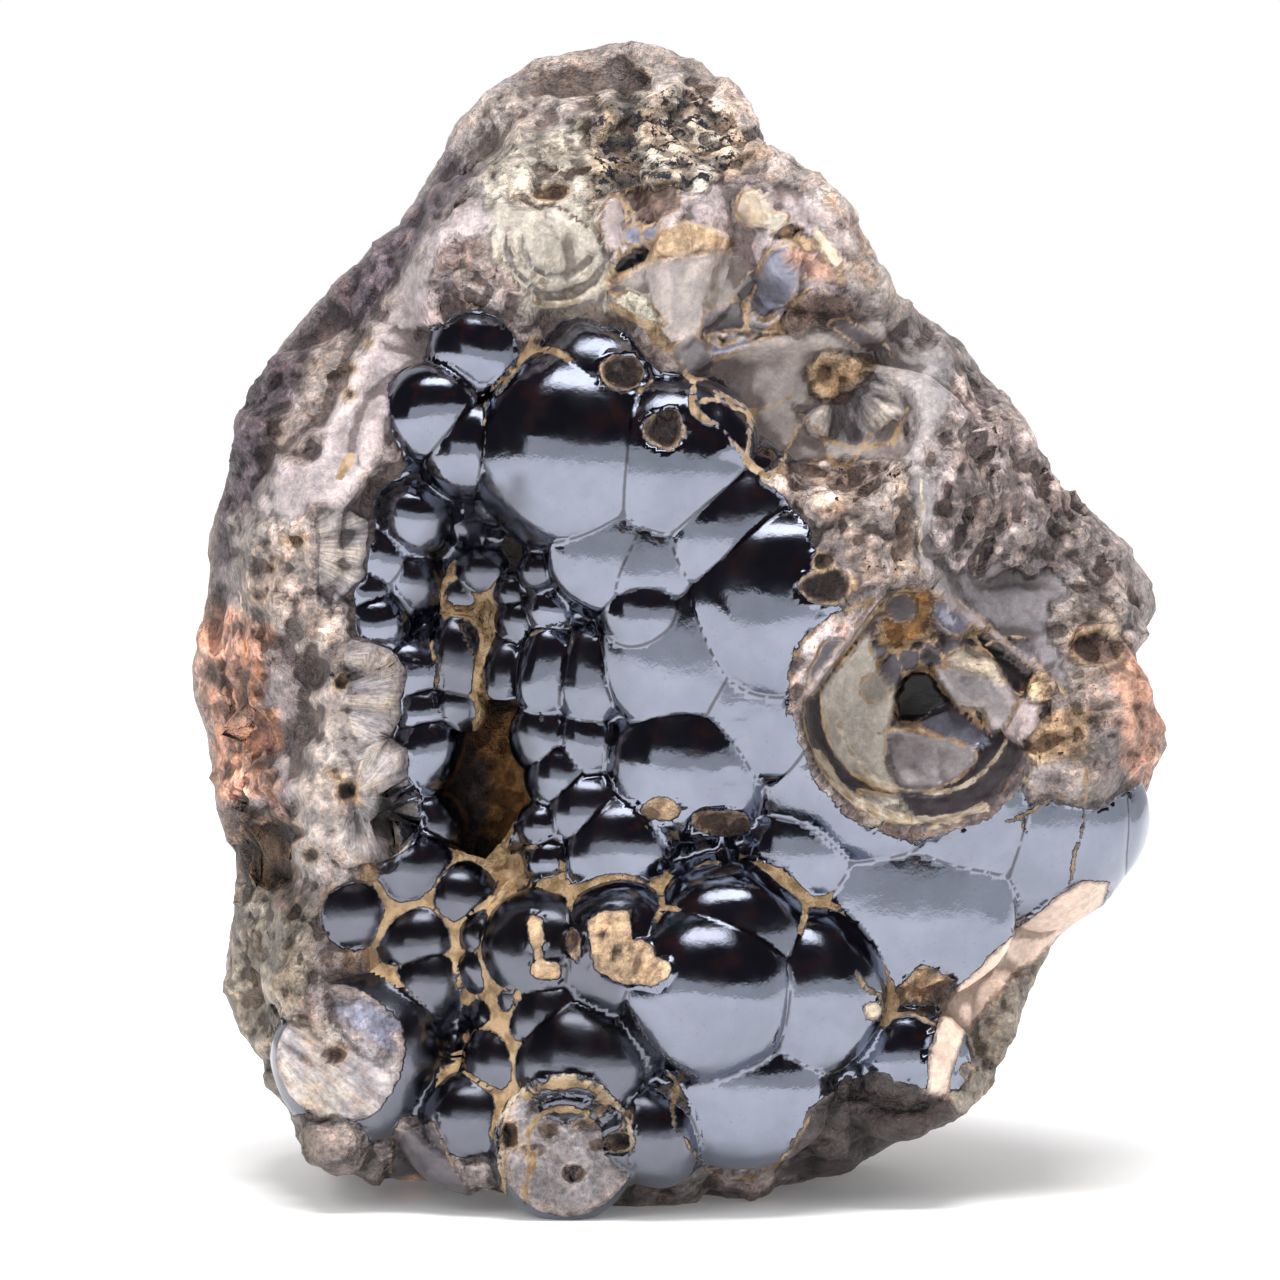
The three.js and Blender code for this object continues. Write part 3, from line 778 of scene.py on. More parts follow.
# ---- drawing on the face
LEDGES = (
    Ledge(((-2, 87.6), (-6, 86.9), (-12, 84.5), (-14, 83), (-16.3, 80.5), (-17.6, 79), (-19.9, 75.9),
        (-23, 69.8), (-25.3, 65.9), (-28, 60), (-30.7, 59), (-33, 54.5), (-34.2, 51.3), (-33, 48.2),
        (-29.2, 45.2), (-27.2, 43.6), (-27.6, 40.5), (-28.4, 35.9), (-29.4, 32.8), (-29.6, 29), (-30.5, 24),
        (-31.5, 18), (-33, 12), (-44, 12), (-44, 96), (-8, 96)), 4.6, 1.5),
    Ledge(((4, 87), (7, 82.8), (13.2, 79), (15.2, 74), (17, 69), (24, 66), (16, 84)), 1.4, 1.6),
)
PATCHES = (
    Patch("crown", Tone.TAN, ((-22, 78), (-14, 94), (2, 94), (8, 83), (0, 88), (-10, 85)), 0.36, 0.12, 0.3,
        2),
    Patch("far_flank", Tone.PURPLE, ((-36, 49), (-33, 55), (-31, 59), (-28.4, 60), (-25.6, 66), (-20, 76),
        (-16, 81), (-19, 84), (-22, 86), (-42, 70), (-44, 49)), 0.55, 0.4, 0.4, 1.2, gloss=0.3),
    Patch("left_strip", Tone.LILAC, ((-19, 76), (-13, 80), (-15, 72), (-20, 66), (-23, 60), (-26, 54),
        (-31, 53), (-33, 54), (-30.6, 58.6), (-28, 60), (-25, 66.4), (-22.4, 70.4)), 0.14, 0.06, 0.05, 1.2),
    Patch("flank_strip", Tone.TAN, ((-29.4, 59), (-26, 66), (-23.6, 70), (-27, 67), (-31, 60)), 0.35, 0.15,
        0.4, 1.6),
    Patch("bleached", Tone.BLEACHED, ((-15, 80), (-13, 83.5), (-7, 84), (-6, 78), (-7, 75), (-12, 78)),
        0.45, 0.15, 0.2, 1.2),
    Patch("sponge", Tone.BLEACHED, ((-6, 79), (-6, 87), (3, 87.6), (7, 82), (5, 79.5)), 0.95, 1, 0.6, 1),
    Patch("sponge_right", Tone.TAN, ((6, 84), (13, 79), (16, 72), (13, 72), (9, 78), (4, 80)), 0.4, 0.1,
        0.7, 1.2),
    Patch("crumb_left", Tone.LILAC, ((-19, 69), (-18.5, 75), (-13, 76.5), (-11, 70.5), (-15, 68.4)), 0.75,
        0.35, 0.4, 0.8),
    Patch("stump", Tone.BLEACHED, ((-13, 78.4), (-8, 78), (-6, 75), (-5.4, 71), (-8, 70.2), (-11.4, 71),
        (-14, 75)), 0.12, 0.03, 0.05, 0.8, gloss=0.3),
    Patch("tan_facets", Tone.LILAC, ((-5, 79), (9, 79.5), (13, 75), (13, 71), (9, 69), (2, 67.8), (-4, 71)),
        0.16, 0.05, 0.2, 0.8, gloss=0.35),
    Patch("dark_cells", Tone.TAN, ((0.6, 67), (2.4, 58), (8, 57), (17, 58), (18, 66), (15, 69), (9, 69),
        (3, 67.6)), 0.04, 0, 0.05, 0.6, gloss=0.5),
    Patch("brow_crust", Tone.TAN, ((6.5, 57.6), (12, 58.6), (18, 58), (18.4, 50.5), (14, 49.5), (13, 53.5),
        (10, 56)), 0.8, 0.6, 0.6, 0.6, grow=0.6, over=True),
    Patch("fan_heart", Tone.OCHRE, ((11.6, 65), (13.2, 65.6)), 0.7, 0.15, 0.3, 0.8, grow=1.4),
    Patch("ridge", Tone.STEEL, ((17.4, 66), (17.8, 60), (18.4, 51.5), (20, 50), (21, 60), (20, 68)), 0.12,
        0.1, 0.1, 0.8, gloss=0.4),
    Patch("rubble", Tone.LILAC, ((20.5, 50), (20, 60), (22, 65), (28, 61), (33, 55), (30, 50)), 0.8, 0.35,
        0.3, 1.5),
    Patch("far_right", Tone.ROCK, ((31, 57), (34, 54), (38, 50), (38, 46), (33, 48), (30, 52)), 0.6, 0.15,
        0.3, 2),
    Patch("smooth_right", Tone.ASH, ((21, 50), (29, 49.5), (30, 42), (25.5, 44.6)), 0.06, 0, 0.05, 1,
        gloss=0.4),
    Patch("cheek", Tone.TAN, ((30.5, 41), (29.5, 47), (34, 48), (35, 43), (32, 38)), 0.6, 0.4, 0.5, 1,
        over=True),
    Patch("right_edge", Tone.RUST, ((33.5, 46), (37.5, 39), (37, 34), (34.4, 36)), 0.4, 0.05, 0.5, 1),
    Patch("left_crust", Tone.RUST, ((-38, 47), (-31.5, 47), (-29, 40), (-30, 33), (-37, 33)), 0.7, 0.1, 0.8,
        1.2),
    Patch("back_shade", Tone.MAUVE, ((-30.6, 46), (-27.6, 43), (-28, 36), (-30, 32), (-31, 36)), 0.3, 0.05,
        0.2, 1),
    Patch("comb", Tone.BROWN, ((-35, 32), (-29.6, 32), (-29, 20), (-35, 22)), 0.8, 0.2, 0.4, 1.2),
    Patch("grape_ground", Tone.SEAM, ((-27, 28), (-18, 29), (-12, 27.6), (-11, 16.6), (-12, 9), (-17, 9),
        (-18, 15), (-24, 20)), 0.12, 0.15, 0.4, 0.8),
    Pane("foot_dark", Tone.GRAPHITE, ((-21.6, 7.4), (-18.8, 8), (-17.4, 5.4), (-15.8, 2), (-20, 2),
        (-22.4, 3.6)), gloss=0.8, ragged=1),
    Patch("trench_floor", Tone.DARK_CRUST, ((-20, 54), (-13, 56), (-11, 48), (-9.6, 36), (-10, 28),
        (-18, 28), (-20, 42)), 0.4, 0.15, 0.4, 0.8),
    Patch("trench_foot", Tone.DEEP_OCHRE, ((-15.6, 39), (-13, 39), (-11.6, 33), (-12.4, 30), (-14, 31)),
        0.3, 0.15, 0.5, 1.6),
    Patch("tan_strip", Tone.TAN, ((-28.5, 41), (-25, 41), (-25, 27), (-29.5, 27)), 0.3, 0.08, 0.3, 0.8),
    Patch("low_left", Tone.GREEN_BROWN, ((-36, 27), (-28, 24), (-31, 12), (-29, 4), (-36, 8)), 0.6, 0.2,
        0.3, 1.6),
    Patch("fan_crust", Tone.TAN, ((-33.6, 54), (-28, 54.6), (-26, 47), (-27, 44.6), (-33.5, 48)), 0.6, 0.3,
        0.4, 0.8),
    Patch("toe_face", Tone.STEEL, ((-8.7, 7),), 0.3, 0.15, 0.2, 0.5, grow=5, gloss=0.35),
    Patch("left_face", Tone.STEEL, ((-26.2, 12.8),), 0.5, 0.05, 0.5, 0.5, grow=5.1, gloss=0.2),
    Patch("left_face_top", Tone.SLATE, ((-27.4, 17.2), (-24.4, 17.4), (-21.8, 15.6), (-22, 14),
        (-24.4, 14.8)), 0.5, 0.2, 0.25, 0.8, grow=0.2, gloss=0.7),
    Patch("left_face_low", Tone.MAUVE, ((-22.2, 12), (-21, 12.4), (-20.6, 10), (-22, 7.6), (-25, 7),
        (-23, 8.6)), 0.2, 0.15, 0.25, 0.8, grow=0.2, gloss=0.3),
    Patch("keel_side", Tone.GREEN_BROWN, ((33, 25), (31.6, 23), (27.4, 20.4), (23.4, 17.2), (21.2, 13.6),
        (20.6, 9.6), (24, 9), (28, 16)), 0.35, 0.15, 0.4, 0.8),
    Pane("pink_band", Tone.PINK, ((33, 26.5), (31, 26.5), (29.5, 25.6), (27, 23.4), (24, 21), (21.6, 18.6),
        (20, 16), (19.2, 13), (19, 10.4), (20.4, 9.6), (20.8, 12), (21.8, 14.6), (23.6, 17.2), (26, 19.6),
        (29, 21.8), (32.6, 24.8)), gloss=0.3, soft=0.4, edge=0),
    # painted shadow: dark patch on the underside at the lower right, where the stone stands off the floor
    Patch("low_dark", Tone.DARK_CRUST, ((7.6, 4), (9.4, 7), (10.2, 9.2), (12, 10.1), (15, 10.8), (18, 10.7),
        (20, 9.6), (22, 8.6), (14, 2)), 0.22, 0.3, 0.1, 0.6, gloss=0.4, over=True),
    Patch("hip_crust", Tone.OCHRE, ((16.2, 16.8), (17, 18.6), (18.8, 20.2), (21, 19), (20.4, 17.6),
        (18, 17.2)), 0.9, 0.4, 0.5, 0.3, grow=0.1, over=True),
    Patch("cream_blob", Tone.CREAM, ((14.8, 16.8),), 0.1, 0.15, 0.25, 0.2, grow=0.6, over=True, lift=0.2),
    Patch("patch_a_top", Tone.OCHRE, ((-11, 23.6), (-10.9, 22.4)), 0.2, 0.15, 0.25, 0.2, grow=0.6,
        over=True, lift=0.15),
    Patch("patch_a_neck", Tone.OCHRE, ((-11.1, 22.6), (-10.5, 19.8)), 0.2, 0.15, 0.25, 0.2, grow=0.3,
        over=True, lift=0.15),
    Patch("patch_a_foot", Tone.OCHRE, ((-10.7, 19.9), (-9.7, 19.9)), 0.2, 0.15, 0.25, 0.2, grow=0.7,
        over=True, lift=0.15),
    Patch("patch_b", Tone.OCHRE, ((-7, 23.8), (-6, 24.4), (-3.8, 24.5), (-3.6, 22.3), (-2.2, 22),
        (-1.9, 21), (-0.8, 20.6), (-0.8, 19.8), (-1.8, 18.9), (-4, 18.9), (-6.5, 20), (-7, 22)), 0.28, 0.15,
        0.25, 0.2, grow=0, over=True, lift=0.2),
    Pane("leaf", Tone.LILAC, ((-6, 78), (-5, 79.4), (-4.3, 78.6), (-4, 77), (-4.6, 75.2), (-5.2, 75),
        (-6, 76.5)), lift=0.5, slope=(-0.5, 0.1)),
    Pane("blades", Tone.BROWN, ((-4, 79.6), (-3.2, 77.2), (-2, 76.6), (-1.5, 77.3), (0, 78.2), (-0.2, 80)),
        crumb=0.3, lift=-0.6, slope=(0.2, -0.2)),
    Pane("bead_left", Tone.SLATE, ((-3.5, 76.1),), grow=0.75, lift=0.4),
    Pane("bead_right", Tone.SLATE, ((-2.2, 76.2),), grow=0.65, lift=0.4),
    # painted shadow: black pane set back at the upper left of the slab
    Pane("wedge", Tone.BLACK, ((-5.6, 72.7), (-2.5, 74.2), (-2.2, 75.2), (-3.4, 75), (-5.2, 73.8)),
        lift=-0.8),
    Pane("wing", Tone.OCHRE, ((-2.2, 74.1), (-1.4, 76.3), (0.4, 77), (2.4, 76.5), (4.2, 75.4), (1, 74.6)),
        crumb=0.25, lift=0.4, slope=(0, 0.4)),
    Pane("slab", Tone.TAN, ((-5.4, 72), (-2, 74), (3.4, 74.9), (5.2, 74.2), (5.6, 73), (4.2, 71.4),
        (3.2, 70.2), (1.6, 68.8), (0, 67.6), (-1, 68.4), (-3, 70.8)), gloss=0.5, lift=0.1,
        slope=(0.06, -0.16)),
    Pane("slab_crumb", Tone.PALE_GREEN, ((-4.8, 71), (-4, 71.8), (-2.6, 71.2), (-1, 69.2), (-2.2, 69.6),
        (-4, 70)), crumb=0.4, gloss=0.2, lift=0.1),
    Pane("glass", Tone.SLATE, ((5.6, 70.6), (5.2, 71.8), (6.4, 74), (7, 75), (8.4, 75.2), (9, 73.4),
        (8.8, 71.6), (7.4, 70.4), (6.6, 69.6)), gloss=0.95, lift=0.6, slope=(0.25, 0.3)),
    Pane("glass_low", Tone.STEEL, ((5.2, 70.4), (6.6, 69.4), (8, 70.4), (6.8, 68.9), (5, 68.9)), gloss=0.9,
        lift=0.3, slope=(0, 0.4)),
    Pane("ridge_dark", Tone.IRON, ((4.2, 71.4), (5.2, 73), (6.2, 73.8), (5.6, 71.6), (5, 70.8)), gloss=0.8,
        slope=(-0.5, 0.3)),
    Pane("slab_low", Tone.IRON, ((2, 70), (4.6, 71.2), (5, 70), (5.2, 69), (3.2, 68.9), (1.6, 68.4)),
        slope=(0.1, 0.35)),
    Pane("bar", Tone.SLATE, ((1.6, 68.5), (3, 67.6), (5, 68), (7, 68.8), (8, 68.8), (6.5, 68.4), (4, 67.2),
        (2.6, 66.8)), gloss=0.95, slope=(0, -0.5)),
    Pane("cell_edge", Tone.IRON, ((-0.4, 67.2), (1, 68.2), (2, 67.8), (2.5, 66.4), (2, 65.2), (0.8, 65.2)),
        lift=0.5, slope=(-0.2, 0.2)),
    Pane("nut", Tone.CREAM, ((4.6, 79), (5, 79.5), (6, 79.3), (7, 78), (6.6, 77), (5.2, 76.9), (4.4, 77.8)),
        gloss=0.9, lift=0.9, slope=(0.1, 0.3)),
    Pane("nut_right", Tone.PALE_GREEN, ((6.6, 77.2), (7.6, 77.8), (8.4, 77.6), (7.2, 76.2)), lift=0.5),
    # painted shade: the opening is a hollow set back and painted black
    Pane("opening", Tone.BLACK, ((7.3, 76.1), (8.4, 76.8), (9.4, 76.4), (10.6, 75.1), (9.8, 74.9),
        (8.8, 75.8)), grow=0, lift=-1.4),
    Pane("sliver", Tone.CREAM, ((10.4, 76.8), (11.2, 75.8), (12.8, 73.6), (12.4, 73.2), (11, 74.8),
        (10.2, 76)), lift=0.4, slope=(0.3, 0)),
    Pane("orange_pane", Tone.RUST, ((8.4, 75), (10, 74.8), (11.8, 73.4), (12.8, 72.6), (10, 72.8), (9, 74)),
        crumb=0.2, gloss=0.3),
    Patch("arch", Tone.BROWN, ((8.4, 69.2), (9.2, 71.4), (10.8, 71.9), (13, 71.2), (13.6, 70), (11, 69.4),
        (9, 68.6)), 0.7, 0.5, 0.25, 0.5, grow=0.1, lift=0.7),
    Pane("wave", Tone.IRON, ((11.5, 69.4), (13, 69.6), (15.4, 68.2), (16.4, 67), (15, 66.8), (13.4, 68)),
        gloss=0.8, lift=0.3, slope=(0, 0.4)),
    Pane("shell_left", Tone.LILAC, ((8.4, 39.5), (8.7, 43), (9.4, 45), (11, 46.4), (13, 47.4), (15.2, 48.4),
        (9.8, 41)), grow=0.2, crumb=0.5, gloss=0.4, glint=0.3, warm=0.6, soft=0.4),
    Pane("bowl_ring", Tone.GRAPHITE, arc(18.9, 40, 8.4, 150, 390), grow=1.1, gloss=0.9, soft=0.4),
    Pane("bowl_green", Tone.BLEACHED, ((10.9, 41), (11.2, 38.5), (12, 36.5), (13.4, 34.9), (15, 34),
        (16.6, 33.6), (15.9, 38), (16.7, 41), (15.4, 42.6), (14.4, 45.4), (12.6, 43.4)), gloss=0.35,
        slope=(0, 0.05)),
    Pane("bowl_foot", Tone.BLEACHED, ((13.8, 33.6), (16.8, 33), (18, 31.2), (15.4, 31.4), (13.6, 32.4)),
        crumb=0.2, gloss=0.3),
    Pane("bowl_stripes", Tone.STEEL, ((15.9, 38), (17.5, 38.4), (19.5, 37.8), (22.8, 37), (22.6, 35.8),
        (21.4, 34.6), (19.4, 33.7), (17, 33.6), (15.9, 35.8)), slope=(0.1, 0.1)),
    Pane("bowl_disc", Tone.GREEN_BROWN, ((15, 41.4),), grow=1.2, gloss=0.4),
    Pane("bowl_top", Tone.DEEP_OCHRE, ((15.4, 45), (15.8, 47.6), (17.2, 49), (19.2, 48.8), (19, 45.6),
        (17, 44.6)), crumb=0.3, gloss=0.4, warm=0.5),
    Pane("bowl_eye", Tone.IRON, ((17, 47.6),), grow=1.15, lift=0.3),
    Pane("bowl_cream", Tone.CREAM, ((20.4, 43.8), (22.2, 44.6), (24, 43.8), (25, 42.4), (25.2, 41.7),
        (22.4, 41.9), (21.4, 43), (20.6, 43.2)), crumb=0.2, gloss=0.4),
    Pane("bowl_slab", Tone.STEEL, ((19.8, 43), (21.4, 42.8), (25.4, 41.4), (25.8, 40.4), (24.8, 38.4),
        (24, 38.2), (23.4, 39.8), (21, 40.4), (19.8, 42)), lift=0.5, slope=(-0.1, -0.25)),
    Pane("bowl_pink", Tone.LILAC, ((25, 38), (26.4, 40.6), (27.6, 40.2), (27.2, 38.4), (26, 37.3)),
        crumb=0.2, gloss=0.7, lift=0.4),
    Pane("bowl_black", Tone.BLACK, ((16.7, 40.9), (17, 39), (18, 38.7), (19.4, 39.4), (21, 40.2),
        (19.8, 42), (19, 43), (17.6, 42.5)), gloss=0.9, lift=-0.8, soft=0.2),
    Pane("bowl_pane", Tone.SLATE, ((18, 38.7), (20.2, 40), (21, 40), (22.4, 38.8), (23.6, 38.4),
        (23.8, 37.2), (22.6, 36.9), (20, 37.9)), grow=0, gloss=1, slope=(0, -0.3), soft=0.2),
    Pane("bowl_blue", Tone.SLATE, ((19.6, 48.2), (21.4, 48.2), (22.8, 46.8), (22, 45.8), (21.4, 45.4),
        (20.2, 46.2), (19.6, 46.8)), grow=0, gloss=1, lift=0.3, slope=(0, -0.4), soft=0.2),
    Pane("bowl_shadow", Tone.BLACK, ((22.4, 45.6), (23.4, 45.8), (25.2, 44.6), (27.4, 42.8), (27, 41.4),
        (26, 41), (25.2, 42), (24, 44)), grow=0, gloss=0.6, lift=-0.6, soft=0.3),
    Patch("bowl_rim", Tone.BROWN, ((9, 45), (8.5, 43), (8.4, 39.5), (9.4, 36.3), (10.2, 34.5), (12.2, 31.7),
        (15, 30.5), (18, 29.4), (20, 30), (24, 31.4), (25.8, 34), (28, 36), (27.4, 36.6), (25, 34.6),
        (23.4, 32), (20, 31), (18, 30.4), (15.4, 31.2), (12.6, 32.4), (10.6, 35), (9.6, 37), (9, 40)), 0.3,
        0.3, 0.8, 0.3, grow=-0.2, lift=0.2, over=True, ragged=0.5),
    Pane("straight_left", Tone.LILAC, ((10, 41.2), (15.4, 48.3)), grow=0.35, gloss=0.8, lift=0.5),
    Pane("straight_right", Tone.LILAC, ((19.6, 49), (23, 46.8), (29.6, 41)), grow=0.2, gloss=0.7, lift=0.3),
    Patch("rim_lump", Tone.OCHRE, ((27.8, 41.5),), 0.6, 0.15, 0.3, 0.3, grow=1.1, over=True, lift=0.5),
    Patch("rim_crust", Tone.OCHRE, ((28.4, 39.4), (31.4, 40), (31, 36.4), (27, 35.6), (26.6, 37)), 0.7, 0.5,
        0.3, 0.4, grow=0.2, over=True),
)
VEINS = (
    Vein(((-13, 27.5), (-11.5, 27.6), (-8.5, 26.4), (-2, 25.4), (0, 26.6), (1.5, 27.8), (3, 28), (8, 25.8),
        (9.5, 24.6), (11, 24.3)), 0.6, seam=True),
    Vein(((1, 27.6), (2, 28), (3, 28)), 0.3, 0.1),
    Vein(((11, 24.3), (11, 23.3), (13, 20.5), (15.2, 18), (15.4, 16.8)), 0.5, seam=True),
    Vein(((13.4, 19.8), (14.2, 18.8), (15.3, 18), (15.5, 16.8)), 0.3),
    Vein(((-13, 63.5), (-13.2, 57), (-12.2, 55)), 0.4, seam=True),
    Vein(((-12.8, 63.7), (-11, 66), (-8.5, 69), (-5.7, 71)), 0.4, seam=True),
    Vein(((-11, 66), (-7, 65.1), (-4.5, 64.4), (-1.2, 65.7)), 0.2, seam=True),
    Vein(((-5, 70.7), (-2.5, 69.2), (-1, 67.4), (0, 66), (1, 65), (1, 63.5), (2, 62), (3, 61), (5, 59),
        (6.8, 57.7)), 0.5, 0.25, Tone.OCHRE),
    Vein(((2, 63.6), (5.5, 62.6), (5.1, 60.8)), 0.26, 0.06),
    Vein(((5.6, 62.6), (7.5, 63), (10, 62.2), (10.8, 61), (13.2, 59.8), (16.5, 60.3), (17.5, 63)), 0.26,
        0.06),
    Vein(((8, 58.2), (10, 58.5), (11, 59), (13, 58.5)), 0.26, 0.06),
    Vein(((26.2, 31.7), (29.5, 33.3)), 0.25, 0.05),
    Vein(((29.8, 33.2), (31, 31.8), (30.7, 30), (30.3, 28), (30.1, 26.5)), 0.22, 0.05),
    Vein(((31, 32.5), (31.3, 35.5)), 0.3, 0.05),
    Vein(((25, 31.2), (26.2, 31.7), (26.6, 30.4)), 0.2, 0.05),
    Vein(((-1, 12.2), (0, 11), (-0.5, 9.5), (-0.3, 7.8), (1, 6), (2.2, 4.5), (3.5, 3.4)), 0.3, 0.08),
    Vein(((3.5, 3.4), (5.4, 3.8), (7.4, 4.6), (8.6, 6.4), (10, 8.8)), 0.25, 0.08),
    Vein(((-17.5, 50.8), (-18.2, 49), (-17.5, 47.7), (-16.2, 47.6), (-14.8, 48.2)), 0.3, 0.1,
        Tone.DEEP_OCHRE),
    Vein(((-17.2, 47.3), (-16.4, 45.4), (-15.3, 43.4), (-14.9, 41), (-14.5, 39.5)), 0.3, 0.1,
        Tone.DEEP_OCHRE),
    Vein(((-18.9, 45), (-18.4, 43.5), (-18.5, 42), (-19.2, 40.5), (-18, 39)), 0.22, 0.1),
    Vein(((-21.5, 43.4), (-20.5, 43.6), (-19.6, 43.4), (-19.2, 43)), 0.16, 0.1, Tone.RUST),
    Vein(((-11.5, 45.5), (-10, 46.2), (-8.5, 46.5), (-8.3, 44.8)), 0.22, 0.1),
    Vein(arc(-8.9, 6.6, 2.8, 40, 215), 0.5, 0.35),
    Vein(arc(-8.7, 6.8, 3.7, 25, 130), 0.3, -0.7, Tone.BLACK),
    Vein(((-10.9, 5.9), (-11.7, 4), (-11.7, 2.3)), 0.4, 0.1),
    Vein(arc(-8.7, 6.8, 4.6, 45, 130), 0.6, 0.35),
    Vein(((-13.4, 6), (-13.4, 2.3)), 0.35, 0.1),
    Vein(arc(-8.7, 6.8, 5.2, -20, 200), 0.25, 0.4, Tone.CREAM),
    Vein(arc(-9.3, 75.5, 2.6, 170, 330), 0.3, -0.4, Tone.ASH),
    Vein(arc(-9.3, 75.5, 3.2, 170, 335), 0.4, 0.45, Tone.BLEACHED),
    Vein(arc(-9.3, 75.5, 3.9, 165, 345), 0.3, -0.4, Tone.ASH),
    Vein(arc(-9.3, 75.5, 4.6, 175, 350), 0.4, 0.5, Tone.CREAM),
    Vein(((-13, 79.6), (-11, 78.2), (-9.4, 78.4), (-7, 77)), 0.3, -0.4, Tone.BROWN),
    Vein(((-10.4, 81.6), (-8.6, 80.8), (-6.8, 81.4)), 0.35, -0.4, Tone.BROWN),
    Vein(((-5.4, 72.2), (-2.5, 73.8), (1, 74.4), (4, 75)), 0.2, 0.15, Tone.PINK),
    Vein(((2, 70.5), (2.8, 72.4), (3.6, 74.4)), 0.9, 0, Tone.TAN),
    # painted shadow: black line in the groove under the bar
    Vein(((2, 67.9), (5, 68.5), (7, 68.9), (8.4, 68.6)), 0.22, -0.5, Tone.BLACK),
    Vein(((6.8, 69.8), (8, 69.2), (8.8, 70.8), (10, 72)), 0.3, 0.2, Tone.OCHRE),
    Vein(((2.6, 66.4), (4, 67), (6.4, 68.2)), 0.25, 0.1, Tone.OCHRE),
    Vein(((-26.8, 42.7), (-25.8, 42), (-25.2, 42.4), (-21.6, 43.2)), 0.26, -0.8, Tone.BLACK),
    Vein(arc(18.9, 40, 6.7, 190, 335), 0.3, 0.15, Tone.CREAM),
    Vein(arc(18.9, 40.4, 9.1, 205, 300), 0.55, 0.1, Tone.CREAM),
    Vein(((12.4, 39.8), (15.4, 38), (17, 38.6)), 0.14, 0.05, Tone.GREEN_BROWN),
    Vein(((16.6, 38.6), (19, 37.9), (21, 37.3), (23, 36.9)), 0.25, 0.1, Tone.OCHRE),
    Vein(((20, 41.6), (21.4, 40.1), (22.6, 39.4), (23.4, 38.2), (24.6, 38)), 0.4, 0.2, Tone.OCHRE),
    Vein(((18.5, 50), (18.6, 60)), 0.2, 0.05, Tone.CREAM),
    Vein(((-26, 57.6), (-25, 59.2)), 0.6, 0.1, Tone.OCHRE),
    Vein(((16.3, 16.5), (18, 16.6), (19.5, 15.8)), 0.3, 0.15, Tone.OCHRE),
    Vein(((-3.6, 17), (-2, 14), (1.5, 11.8)), 0.15, 0, Tone.BLACK),
)
PLATE = (
    (-28, 55), (-25.5, 55.2), (-23.8, 54.4), (-23.4, 53.2), (-23.9, 51.8), (-24.3, 50), (-25.7, 48),
    (-25.6, 46), (-25, 45.4), (-23.4, 45), (-22.1, 44.2), (-21.6, 43.2), (-21.4, 41), (-21.6, 39.5),
    (-22.7, 37.4), (-20.9, 36.8), (-20.9, 34.6), (-20, 33.2), (-20, 31.4), (-20.4, 29.8), (-21.4, 28.8),
    (-23, 28.1), (-26, 28), (-28, 30), (-27, 36), (-27.5, 41), (-27, 44), (-28, 48),
)
WEBS = (
    (1, ((-27, 28), (-18, 29), (-12.6, 27.6), (-12.4, 24), (-13, 19), (-11, 16.6), (-12, 11), (-13.4, 8),
        (-14.4, 2), (-22, 2), (-21, 6.6), (-18.6, 9), (-18, 15), (-20, 18), (-24, 20))),
    (0.25, ((-14.6, 52), (-13.4, 47), (-14.6, 44), (-13.6, 40), (-12.4, 33), (-13, 29), (-16, 29),
        (-15.6, 36), (-16.4, 42), (-18.4, 47), (-18, 51))),
)
